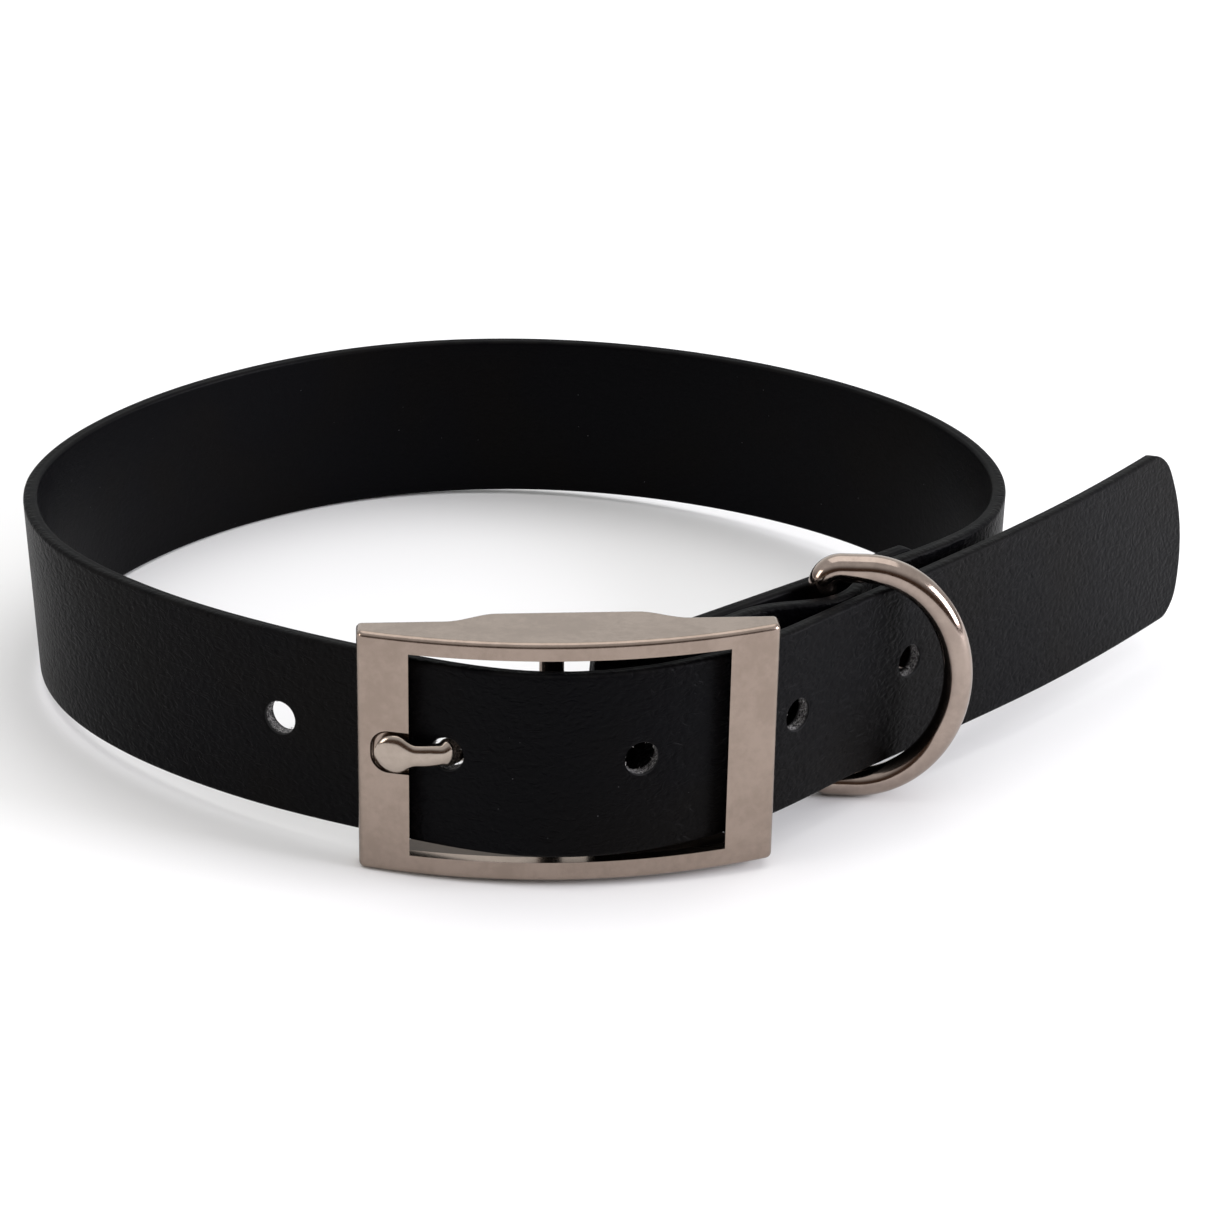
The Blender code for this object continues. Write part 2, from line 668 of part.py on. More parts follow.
def make_tongue(group, finish):
    """A flat bar of eight-sided section along the tongue's line."""
    line = tongue_line()
    stations = list(np.linspace(0.0, TONGUE_HEAD_ROUND, HEAD_SECTIONS, endpoint=False))
    stations += list(np.linspace(TONGUE_HEAD_ROUND, line.length, TONGUE_SECTIONS))
    mesh = bpy.data.meshes.new("tongue")
    shape = bmesh.new()
    rings = []
    for station in stations:
        middle = line.at(station)
        out = line.normal(station)
        thin = 1.0 - station / TONGUE_HEAD_ROUND if station < TONGUE_HEAD_ROUND else 0.0
        half_thick = TONGUE_THICKNESS / 2 * (1.0 - TONGUE_HEAD_THIN * thin)
        wide = tongue_half_width(station)
        ring = []
        for across, through in TONGUE_SECTION:
            place = middle + out * through * half_thick
            ring.append(shape.verts.new((place[0], place[1], TONGUE_RISE + across * wide)))
        rings.append(ring)
    for before, after in zip(rings, rings[1:]):
        for k in range(len(TONGUE_SECTION)):
            after_k = (k + 1) % len(TONGUE_SECTION)
            shape.faces.new((before[k], before[after_k], after[after_k], after[k]))
    shape.faces.new(rings[0][::-1])
    shape.faces.new(rings[-1])
    bmesh.ops.recalc_face_normals(shape, faces=shape.faces)
    shape.to_mesh(mesh)
    shape.free()
    item = mesh_object("tongue", mesh, group, finish)
    shade(item)
    return item


def ring_outline():
    """The D-ring's wire line in its own plane: straight side at x = 0, round side towards +x."""
    height = RING_HALF_HEIGHT
    round_depth = RING_DEPTH - RING_ROUND_START
    corner = [(RING_CORNER * (1 - cos(a)), height - RING_CORNER * (1 - sin(a)))
              for a in np.linspace(0.0, pi / 2, CORNER_STEPS)]
    curve = [(RING_ROUND_START + round_depth * cos(a), height * sin(a))
             for a in np.linspace(pi / 2, -pi / 2, ROUND_STEPS)]
    mirrored = [(x, -z) for x, z in reversed(corner)]
    return [(0.0, 0.0)] + corner + curve + mirrored


def make_d_ring(group, finish):
    """A closed wire, its origin on the straight side that it swings about."""
    curve = bpy.data.curves.new("d_ring", "CURVE")
    curve.dimensions = "3D"
    curve.bevel_depth = WIRE_RADIUS
    curve.bevel_resolution = 4
    points = ring_outline()
    line = curve.splines.new("POLY")
    line.points.add(len(points) - 1)
    for point, place in zip(line.points, points):
        point.co = (place[0], 0.0, place[1], 1.0)
    line.use_cyclic_u = True
    drawn = bpy.data.objects.new("d_ring_line", curve)
    group.objects.link(drawn)
    depsgraph = bpy.context.evaluated_depsgraph_get()
    mesh = bpy.data.meshes.new_from_object(drawn.evaluated_get(depsgraph))
    bpy.data.objects.remove(drawn, do_unlink=True)
    item = mesh_object("d_ring", mesh, group, finish)
    item.location = (RING_BAR[0], RING_BAR[1], 0.0)
    item.rotation_euler = (0.0, 0.0, radians(RING_HEADING))
    shade(item)
    return item


def world_points(items):
    """Every corner of the evaluated parts, as rows."""
    bpy.context.view_layer.update()
    depsgraph = bpy.context.evaluated_depsgraph_get()
    rows = []
    for item in items:
        seen = item.evaluated_get(depsgraph)
        rows += [item.matrix_world @ vertex.co for vertex in seen.data.vertices]
    return np.array(rows)


def resting_turn(points, centre):
    """Turn that stands the collar on the side of its hull that lies under its weight."""
    hull = bmesh.new()
    for point in points[points[:, 2] < 0.0]:
        hull.verts.new(point)
    bmesh.ops.convex_hull(hull, input=hull.verts)
    bmesh.ops.triangulate(hull, faces=hull.faces)
    best = None
    for face in hull.faces:
        if face.normal.z > -cos(radians(MOST_TILT)):
            continue
        corners = [corner.co for corner in face.verts]
        plan = Matrix([[corner[k] for corner in corners] for k in (0, 1)] + [[1.0, 1.0, 1.0]])
        if abs(plan.determinant()) < GAP ** 2:
            continue
        score = min(plan.inverted() @ Vector((centre[0], centre[1], 1.0)))
        if best is None or score > best[0]:
            best = (score, face.normal.copy())
    hull.free()
    return best[1].rotation_difference(Vector((0.0, 0.0, -1.0)))


def stand_on_floor(items, cutters, group):
    """Parent everything, cutters too, to an empty that rests it on the floor with its box centred."""
    stand = bpy.data.objects.new("rest", None)
    group.objects.link(stand)
    points = world_points(items)
    centre = np.array([LOOP_WIDTH * MASS_CENTRE[0], LOOP_DEPTH * MASS_CENTRE[1]])
    stand.rotation_mode = "QUATERNION"
    stand.rotation_quaternion = resting_turn(points, centre)
    for item in [*items, *cutters.objects]:
        item.parent = stand
    points = world_points(items)
    middle = (points.min(axis=0) + points.max(axis=0)) / 2
    stand.location = (-middle[0], -middle[1], -points[:, 2].min())
    bpy.context.view_layer.update()
    return stand


def main():
    clear_scene()
    group = collection(COLLECTION)
    cutters = collection(CUTTERS)
    leather = material("black_coated_webbing", (0.012, 0.012, 0.014), 0.5, 0.0)
    nickel = material("satin_nickel", (0.62, 0.55, 0.50), 0.3, 1.0)
    steel = material("plated_wire", (0.70, 0.63, 0.57), 0.18, 1.0)
    items = [
        make_strap(group, cutters, leather),
        make_frame(group, cutters, nickel),
        make_centre_bar(group, nickel),
        make_tongue(group, nickel),
        make_d_ring(group, steel),
    ]
    items += [make_rivet(index, place, group, nickel) for index, place in enumerate(RIVET_PLACES)]
    stand_on_floor(items, cutters, group)


main()
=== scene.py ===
"""Looks of a buckled dog collar: coated webbing, a satin nickel buckle, a plated D-ring.

The strap, buckle frame, tongue and ring replace their solids with finer meshes of the same form. Every
piece is modelled level, in the collar's own frame, and its mesh is then stood on the floor as the
solids stand. Lengths are in metres.
"""

import json
import logging
from dataclasses import dataclass, field
from enum import Enum
from math import cos, pi, radians, sin

import bmesh
import bpy
import numpy as np
from mathutils import Matrix, Vector, kdtree

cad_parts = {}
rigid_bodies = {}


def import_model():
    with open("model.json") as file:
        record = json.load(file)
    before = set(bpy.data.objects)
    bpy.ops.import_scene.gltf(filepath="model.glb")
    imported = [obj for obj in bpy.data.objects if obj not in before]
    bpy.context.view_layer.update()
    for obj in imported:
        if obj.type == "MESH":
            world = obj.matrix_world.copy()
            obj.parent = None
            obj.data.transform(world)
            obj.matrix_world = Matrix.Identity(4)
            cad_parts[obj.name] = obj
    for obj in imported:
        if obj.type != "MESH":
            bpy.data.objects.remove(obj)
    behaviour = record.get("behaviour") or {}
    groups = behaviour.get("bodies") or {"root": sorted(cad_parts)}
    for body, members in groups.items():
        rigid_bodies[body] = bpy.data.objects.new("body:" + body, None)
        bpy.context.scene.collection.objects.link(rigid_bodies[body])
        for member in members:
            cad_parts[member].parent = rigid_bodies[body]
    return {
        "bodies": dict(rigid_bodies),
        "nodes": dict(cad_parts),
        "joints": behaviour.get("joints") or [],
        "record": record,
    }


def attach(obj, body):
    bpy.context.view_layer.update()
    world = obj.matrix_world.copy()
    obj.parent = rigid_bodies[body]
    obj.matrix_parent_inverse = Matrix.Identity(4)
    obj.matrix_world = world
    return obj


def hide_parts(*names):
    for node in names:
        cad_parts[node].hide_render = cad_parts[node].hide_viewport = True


LOG = logging.getLogger("collar")

GAP = 0.0003
PATH_STEP = 0.00025
CIRCLE = 2.0 * pi

# The collar's own frame to the world: the direction that ends up on top, and the shift after the turn.
REST_UP = Vector((0.024968, -0.032124, 0.999172))
REST_SHIFT = Vector((-0.011853, -0.058564, 0.017301))


def rest_matrix() -> Matrix:
    """The turn and shift that stand the level collar on the floor.

    Returns:
        The matrix from the collar's own frame to the world.
    """
    turn = REST_UP.rotation_difference(Vector((0.0, 0.0, 1.0))).to_matrix().to_4x4()
    return Matrix.Translation(REST_SHIFT) @ turn


def smoothstep(value: np.ndarray) -> np.ndarray:
    """Ease from 0 to 1 with flat ends."""
    value = np.clip(value, 0.0, 1.0)
    return value * value * (3.0 - 2.0 * value)


def heading(degrees: float) -> np.ndarray:
    """Unit vector in plan at an angle from +X."""
    return np.array([cos(radians(degrees)), sin(radians(degrees))])


def outward(tangent: np.ndarray) -> np.ndarray:
    """The side of a plan path that faces away from the neck."""
    tangent = np.asarray(tangent)
    return np.stack([tangent[..., 1], -tangent[..., 0]], axis=-1)


def walk(start: np.ndarray, length: float, heading_at) -> np.ndarray:
    """Points a path step apart, turning as they go.

    Args:
        start: First point in plan.
        length: Length to walk.
        heading_at: Gives headings in degrees for an array of distances.

    Returns:
        The points, one row each.
    """
    count = int(round(length / PATH_STEP)) + 1
    distance = np.linspace(0.0, length, count)
    angle = np.radians(heading_at((distance[1:] + distance[:-1]) / 2))
    step = np.diff(distance)
    moves = np.stack([np.cos(angle) * step, np.sin(angle) * step], axis=1)
    return np.vstack([[start], start + np.cumsum(moves, axis=0)])


def spline(knots: list) -> np.ndarray:
    """Natural cubic spline through knots, read every path step.

    Args:
        knots: Points in plan.

    Returns:
        The points of the spline, one row each.
    """
    knots = np.array(knots)
    chord = np.linalg.norm(np.diff(knots, axis=0), axis=1)
    place = np.concatenate([[0.0], np.cumsum(chord)])
    count = len(knots)
    matrix = np.eye(count)
    right = np.zeros((count, 2))
    slope = np.diff(knots, axis=0) / chord[:, None]
    for row in range(1, count - 1):
        matrix[row, row - 1:row + 2] = (chord[row - 1], 2 * (chord[row - 1] + chord[row]), chord[row])
        right[row] = 6 * (slope[row] - slope[row - 1])
    bend = np.linalg.solve(matrix, right)
    read = np.linspace(0.0, place[-1], int(place[-1] / PATH_STEP))
    index = np.clip(np.searchsorted(place, read, side="right") - 1, 0, count - 2)
    width = chord[index][:, None]
    after = (read - place[index])[:, None]
    before = width - after
    cubic = (bend[index] * before ** 3 + bend[index + 1] * after ** 3) / (6 * width)
    linear = (knots[index] / width - bend[index] * width / 6) * before
    linear += (knots[index + 1] / width - bend[index + 1] * width / 6) * after
    return cubic + linear


class Path:
    """A plan path with its length measured from its start."""

    def __init__(self, points: np.ndarray) -> None:
        """Measure the path.

        Args:
            points: Points in plan, one row each.
        """
        self.points = np.array(points)
        steps = np.linalg.norm(np.diff(self.points, axis=0), axis=1)
        self.stations = np.concatenate([[0.0], np.cumsum(steps)])
        self.length = float(self.stations[-1])
        self.tangents = np.gradient(self.points, axis=0)
        self.tangents /= np.linalg.norm(self.tangents, axis=1)[:, None]

    def at(self, station: float) -> np.ndarray:
        """Point at a station."""
        return np.array([np.interp(station, self.stations, self.points[:, k]) for k in (0, 1)])

    def tangent(self, station: float) -> np.ndarray:
        """Unit tangent at a station."""
        found = np.array([np.interp(station, self.stations, self.tangents[:, k]) for k in (0, 1)])
        return found / np.linalg.norm(found)

    def normal(self, station: float) -> np.ndarray:
        """Unit vector away from the neck at a station."""
        return outward(self.tangent(station))

    def nearest(self, point: np.ndarray, low: float = 0.0) -> float:
        """Station of the path's nearest point past a first station.

        Args:
            point: Point in plan.
            low: Station where the search starts.

        Returns:
            The station.
        """
        distance = np.linalg.norm(self.points - point, axis=1)
        distance[self.stations < low] = np.inf
        return float(self.stations[int(np.argmin(distance))])


class Op(Enum):
    """Math node operations that the shader expressions use."""

    ADD = "ADD"
    SUB = "SUBTRACT"
    MUL = "MULTIPLY"
    DIV = "DIVIDE"
    POWER = "POWER"
    ABS = "ABSOLUTE"
    LEAST = "MINIMUM"
    MOST = "MAXIMUM"
    SINE = "SINE"


class Value:
    """A shader socket that can be used in Python arithmetic."""

    def __init__(self, graph: "Tree", socket: bpy.types.NodeSocket) -> None:
        """Wrap a socket.

        Args:
            graph: The graph that owns the socket's node.
            socket: An output socket that carries a number.
        """
        self.graph = graph
        self.socket = socket

    def _math(self, op: Op, first, second=None) -> "Value":
        """Add a Math node on two operands."""
        inputs = {0: first} if second is None else {0: first, 1: second}
        made = self.graph.node("ShaderNodeMath", {"operation": op.value}, inputs)
        return Value(self.graph, made.outputs[0])

    def __add__(self, other) -> "Value":
        """Sum."""
        return self._math(Op.ADD, self, other)

    __radd__ = __add__

    def __sub__(self, other) -> "Value":
        """Difference."""
        return self._math(Op.SUB, self, other)

    def __rsub__(self, other) -> "Value":
        """Reflected difference."""
        return self._math(Op.SUB, other, self)

    def __mul__(self, other) -> "Value":
        """Product."""
        return self._math(Op.MUL, self, other)

    __rmul__ = __mul__

    def __truediv__(self, other) -> "Value":
        """Quotient."""
        return self._math(Op.DIV, self, other)

    def __rtruediv__(self, other) -> "Value":
        """Reflected quotient."""
        return self._math(Op.DIV, other, self)

    def __pow__(self, other) -> "Value":
        """Power."""
        return self._math(Op.POWER, self, other)

    def __abs__(self) -> "Value":
        """Size without sign."""
        return self._math(Op.ABS, self)

    def least(self, other) -> "Value":
        """The smaller of two."""
        return self._math(Op.LEAST, self, other)

    def most(self, other) -> "Value":
        """The larger of two."""
        return self._math(Op.MOST, self, other)

    def clamp(self) -> "Value":
        """Hold between 0 and 1."""
        return self.least(1.0).most(0.0)

    def ramp(self, low: float, high: float) -> "Value":
        """Ease from 0 at low to 1 at high.

        Args:
            low: Value that gives 0.
            high: Value that gives 1; it may be the smaller one.

        Returns:
            The eased value.
        """
        made = self.graph.node("ShaderNodeMapRange", {"interpolation_type": "SMOOTHSTEP"},
                               {"Value": self, "From Min": low, "From Max": high})
        return Value(self.graph, made.outputs[0])


class Tree:
    """A node tree and the calls that fill it."""

    def __init__(self, tree: bpy.types.NodeTree) -> None:
        """Keep the tree.

        Args:
            tree: An empty node tree.
        """
        self.tree = tree

    def node(self, kind: str, settings: dict | None = None, inputs: dict | None = None) -> bpy.types.Node:
        """Add a node, set it up and connect it.

        Args:
            kind: The node's type.
            settings: Attributes to set first.
            inputs: Values, sockets or wrapped values by socket name or number.

        Returns:
            The node.
        """
        made = self.tree.nodes.new(kind)
        for key, value in (settings or {}).items():
            setattr(made, key, value)
        for key, value in (inputs or {}).items():
            self.feed(made.inputs[key], value)
        return made

    def feed(self, socket: bpy.types.NodeSocket, value) -> None:
        """Set a socket to a value or link it.

        Args:
            socket: The input socket.
            value: A wrapped value, a socket, a number or a tuple.
        """
        if isinstance(value, Value):
            value = value.socket
        if isinstance(value, bpy.types.NodeSocket):
            self.tree.links.new(value, socket)
        else:
            socket.default_value = value

    def blend(self, share: Value, first, second) -> bpy.types.NodeSocket:
        """Mix two colours.

        Args:
            share: 0 for the first colour, 1 for the second.
            first: Colour tuple or socket.
            second: Colour tuple or socket.

        Returns:
            The colour socket.
        """
        made = self.node("ShaderNodeMix", {"data_type": "RGBA"})
        self.feed(made.inputs[0], share)
        self.feed(made.inputs[6], self._colour(first))
        self.feed(made.inputs[7], self._colour(second))
        return made.outputs[2]

    @staticmethod
    def _colour(value):
        """Give a colour tuple its alpha."""
        return (*value, 1.0) if isinstance(value, tuple) else value


class Graph(Tree):
    """A material's node tree and the calls that fill it."""

    def __init__(self, name: str) -> None:
        """Make a material with an empty tree and one Principled shader.

        Args:
            name: The material's name.
        """
        self.material = bpy.data.materials.new(name)
        self.material.use_nodes = True
        super().__init__(self.material.node_tree)
        self.shader = self.tree.nodes["Principled BSDF"]

    def place(self, attribute: str | None = None) -> bpy.types.NodeSocket:
        """Coordinates that a pattern reads.

        Args:
            attribute: Name of a vector attribute, or None for Object coordinates.

        Returns:
            The vector socket.
        """
        if attribute is None:
            return self.node("ShaderNodeTexCoord").outputs["Object"]
        return self.node("ShaderNodeAttribute", {"attribute_name": attribute}).outputs["Vector"]

    def number(self, attribute: str) -> Value:
        """A number attribute of the mesh."""
        made = self.node("ShaderNodeAttribute", {"attribute_name": attribute})
        return Value(self, made.outputs["Fac"])

    def axis(self, place: bpy.types.NodeSocket, index: int) -> Value:
        """One number of some coordinates."""
        return Value(self, self.node("ShaderNodeSeparateXYZ", None, {0: place}).outputs[index])

    def stretched(self, place: bpy.types.NodeSocket, scale: tuple) -> bpy.types.NodeSocket:
        """Coordinates multiplied axis by axis.

        Args:
            place: The coordinates.
            scale: Factor for each axis.

        Returns:
            The scaled coordinates.
        """
        made = self.node("ShaderNodeMapping", {"vector_type": "POINT"}, {"Vector": place, "Scale": scale})
        return made.outputs[0]

    def noise(self, place, scale: float, detail: float = 3.0, rough: float = 0.5,
              distortion: float = 0.0) -> Value:
        """Fractal noise.

        Args:
            place: The coordinates.
            scale: Features per metre.
            detail: Octaves.
            rough: Share of each finer octave.
            distortion: How far the noise warps itself.

        Returns:
            The noise, about 0.5 in the middle.
        """
        made = self.node("ShaderNodeTexNoise", None, {
            "Vector": place, "Scale": scale, "Detail": detail, "Roughness": rough,
            "Distortion": distortion})
        return Value(self, made.outputs["Fac"])

    def cells(self, place, scale: float, feature: str = "F1", smooth: float = 0.0) -> Value:
        """Distance pattern of scattered cells.

        Args:
            place: The coordinates.
            scale: Cells per metre.
            feature: Which distance is read.
            smooth: Softness, for the smooth feature alone.

        Returns:
            The distance.
        """
        inputs = {"Vector": place, "Scale": scale}
        if feature == "SMOOTH_F1":
            inputs["Smoothness"] = smooth
        made = self.node("ShaderNodeTexVoronoi", {"feature": feature}, inputs)
        return Value(self, made.outputs["Distance"])

    def bump(self, height: Value, distance: float, strength: float = 1.0,
             under: bpy.types.NodeSocket | None = None) -> bpy.types.NodeSocket:
        """Surface relief.

        Args:
            height: The height pattern, from 0 to 1.
            distance: Its depth in metres.
            strength: Share of the effect.
            under: Normal that the relief is added to.

        Returns:
            The normal socket.
        """
        inputs = {"Height": height, "Distance": distance, "Strength": strength}
        if under is not None:
            inputs["Normal"] = under
        return self.node("ShaderNodeBump", None, inputs).outputs[0]

    def dress(self, colour, roughness, metallic: float = 0.0, normal=None, **constants) -> bpy.types.Material:
        """Finish the shader.

        Args:
            colour: Base colour, tuple or socket.
            roughness: Number or wrapped value.
            metallic: Metalness.
            normal: Normal socket, if any.
            constants: Other sockets, spaces as underscores, with one value each.

        Returns:
            The material.
        """
        self.feed(self.shader.inputs["Base Color"], self._colour(colour))
        self.feed(self.shader.inputs["Roughness"], roughness)
        self.feed(self.shader.inputs["Metallic"], metallic)
        if normal is not None:
            self.feed(self.shader.inputs["Normal"], normal)
        for key, value in constants.items():
            self.feed(self.shader.inputs[key.replace("_", " ")], value)
        return self.material


class Growth(Tree):
    """A geometry tree with named inputs that ends in real, dressed mesh."""

    def __init__(self, name: str) -> None:
        """Open the tree with a geometry input and output.

        Args:
            name: The tree's name.
        """
        super().__init__(bpy.data.node_groups.new(name, "GeometryNodeTree"))
        self.sizes: dict[str, object] = {}
        for side in ("INPUT", "OUTPUT"):
            self.tree.interface.new_socket("Geometry", in_out=side, socket_type="NodeSocketGeometry")
        self.entry = self.tree.nodes.new("NodeGroupInput")

    def size(self, name: str, value: float | int) -> bpy.types.NodeSocket:
        """Add a named input.

        Args:
            name: The input's name.
            value: The value it gets; a whole number makes a whole-number input.

        Returns:
            The socket that carries it.
        """
        kind = "NodeSocketInt" if isinstance(value, int) else "NodeSocketFloat"
        made = self.tree.interface.new_socket(name, in_out="INPUT", socket_type=kind)
        self.sizes[made.identifier] = value
        return self.entry.outputs[name]

    def grow(self, item: bpy.types.Object, shape: bpy.types.NodeSocket,
             finish: bpy.types.Material) -> bpy.types.Mesh:
        """Close the tree, run it on an object and keep the result.

        Args:
            item: The object that feeds the tree; it is removed afterwards.
            shape: The geometry to keep.
            finish: The material it gets.

        Returns:
            A plain mesh.
        """
        real = self.node("GeometryNodeRealizeInstances", None, {"Geometry": shape})
        dressed = self.node("GeometryNodeSetMaterial", None, {
            "Geometry": real.outputs[0], "Material": finish})
        self.node("NodeGroupOutput", None, {0: dressed.outputs[0]})
        growth = item.modifiers.new(self.tree.name, "NODES")
        growth.node_group = self.tree
        for identifier, value in self.sizes.items():
            growth[identifier] = value
        return evaluated(item)


def loose(mesh: bpy.types.Mesh) -> bpy.types.Object:
    """Put a mesh in the scene for as long as it is worked on."""
    item = bpy.data.objects.new(mesh.name, mesh)
    bpy.context.scene.collection.objects.link(item)
    return item


def tidied(mesh: bpy.types.Mesh) -> bpy.types.Mesh:
    """Join the flat faces that cutting has split.

    Args:
        mesh: The cut mesh; it is changed.

    Returns:
        The same mesh.
    """
    shape = bmesh.new()
    shape.from_mesh(mesh)
    bmesh.ops.remove_doubles(shape, verts=shape.verts, dist=0.000002)
    bmesh.ops.dissolve_limit(shape, angle_limit=radians(0.2), verts=shape.verts, edges=shape.edges,
                             delimit={"MATERIAL"})
    shape.to_mesh(mesh)
    shape.free()
    return mesh


def evaluated(item: bpy.types.Object) -> bpy.types.Mesh:
    """The plain mesh of an object with its modifiers done; the object is removed."""
    depsgraph = bpy.context.evaluated_depsgraph_get()
    mesh = bpy.data.meshes.new_from_object(item.evaluated_get(depsgraph))
    bpy.data.objects.remove(item, do_unlink=True)
    return mesh


def face_outwards(mesh: bpy.types.Mesh) -> None:
    """Turn the faces of closed shells outwards."""
    shape = bmesh.new()
    shape.from_mesh(mesh)
    bmesh.ops.recalc_face_normals(shape, faces=shape.faces)
    shape.to_mesh(mesh)
    shape.free()


def mesh_from(name: str, points: list, faces: list) -> bpy.types.Mesh:
    """A closed mesh with its faces outwards.

    Args:
        name: The mesh's name.
        points: Corner places.
        faces: Corner numbers of each face.

    Returns:
        The mesh.
    """
    mesh = bpy.data.meshes.new(name)
    mesh.from_pydata([tuple(point) for point in points], [], faces)
    face_outwards(mesh)
    return mesh


def tube_faces(rings: int, sides: int) -> list:
    """Faces of a capped tube.

    Args:
        rings: Sections along the tube.
        sides: Corners of each section.

    Returns:
        Corner numbers of each face, section by section.
    """
    faces = [tuple(range(sides)), tuple((rings - 1) * sides + k for k in range(sides))]
    for ring in range(rings - 1):
        for k in range(sides):
            after = (k + 1) % sides
            faces.append((ring * sides + k, ring * sides + after,
                          (ring + 1) * sides + after, (ring + 1) * sides + k))
    return faces


def lathe(name: str, profile: list, sides: int) -> bpy.types.Mesh:
    """A turned solid about Z.

    Args:
        name: The mesh's name.
        profile: Pairs of radius and height from end to end.
        sides: Corners of each ring.

    Returns:
        The closed mesh.
    """
    points = [(radius * cos(CIRCLE * k / sides), radius * sin(CIRCLE * k / sides), height)
              for radius, height in profile for k in range(sides)]
    return mesh_from(name, points, tube_faces(len(profile), sides))


def prism(name: str, outline: list, half: float) -> bpy.types.Mesh:
    """A flat outline carried both ways along Z.

    Args:
        name: The mesh's name.
        outline: Corner places in plan.
        half: Half the height.

    Returns:
        The closed mesh.
    """
    points = [(x, y, height) for height in (-half, half) for x, y in outline]
    return mesh_from(name, points, tube_faces(2, len(outline)))


def box_outline(low: tuple, high: tuple) -> list:
    """The four corners of a rectangle in plan."""
    return [(low[0], low[1]), (high[0], low[1]), (high[0], high[1]), (low[0], high[1])]


def turn_to(direction: Vector, middle: Vector) -> Matrix:
    """Matrix that carries +Z onto a direction and the origin onto a point."""
    return Matrix.Translation(middle) @ direction.to_track_quat("Z", "Y").to_matrix().to_4x4()


def rounded(mesh: bpy.types.Mesh, width: float, segments: int, angle: float) -> bpy.types.Mesh:
    """Round the sharp edges of a mesh.

    Args:
        mesh: The mesh; it isn't changed.
        width: Width of the rounding.
        segments: Faces across it.
        angle: Edges sharper than this many degrees are rounded.

    Returns:
        The rounded mesh.
    """
    item = loose(mesh)
    edges = item.modifiers.new("edges", "BEVEL")
    edges.width = width
    edges.segments = segments
    edges.limit_method = "ANGLE"
    edges.angle_limit = radians(angle)
    return evaluated(item)


def carve(mesh: bpy.types.Mesh, tools: list) -> bpy.types.Mesh:
    """Cut shapes out of a mesh; the cut faces take each tool's material.

    Args:
        mesh: The mesh; it isn't changed.
        tools: Meshes of the shapes to take out.

    Returns:
        The cut mesh.
    """
    item = loose(mesh)
    held = [loose(tool) for tool in tools]
    for tool in held:
        change = item.modifiers.new(tool.name, "BOOLEAN")
        change.operation = "DIFFERENCE"
        change.solver = "EXACT"
        change.material_mode = "TRANSFER"
        change.object = tool
    result = evaluated(item)
    for tool in held:
        bpy.data.objects.remove(tool, do_unlink=True)
    return result


def smooth(mesh: bpy.types.Mesh, angle: float = 35.0, even: bool = False) -> bpy.types.Mesh:
    """Shade smooth between edges sharper than an angle.

    Args:
        mesh: The mesh.
        angle: The angle in degrees.
        even: Whether large faces keep their own direction.

    Returns:
        The shaded mesh.
    """
    mesh.shade_smooth()
    mesh.set_sharp_from_angle(angle=radians(angle))
    if not even:
        return mesh
    item = loose(mesh)
    weighted = item.modifiers.new("even", "WEIGHTED_NORMAL")
    weighted.keep_sharp = True
    weighted.weight = 100
    return evaluated(item)


class Body(Enum):
    """The bodies that pieces ride on."""

    COLLAR = "collar"
    RING = "ring"


class Slot(Enum):
    """The record's material slots."""

    WEBBING = "black_coated_webbing"
    NICKEL = "satin_nickel"
    WIRE = "plated_wire"


def present(name: str, mesh: bpy.types.Mesh, body: Body, slot: Slot, *nodes: str) -> bpy.types.Object:
    """Stand a finished mesh on the floor and join it to the collar.

    Args:
        name: The piece's name.
        mesh: Its mesh in the collar's own frame.
        body: The body that it rides on.
        slot: The record's slot of its finish; not used.
        nodes: Solids that it stands for.

    Returns:
        The piece.
    """
    mesh.name = name
    mesh.transform(rest_matrix())
    item = loose(mesh)
    item.name = name
    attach(item, body.value)
    if nodes:
        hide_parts(*nodes)
    LOG.info("%s: %d faces, rides on %s", name, len(mesh.polygons), body.value)
    return item


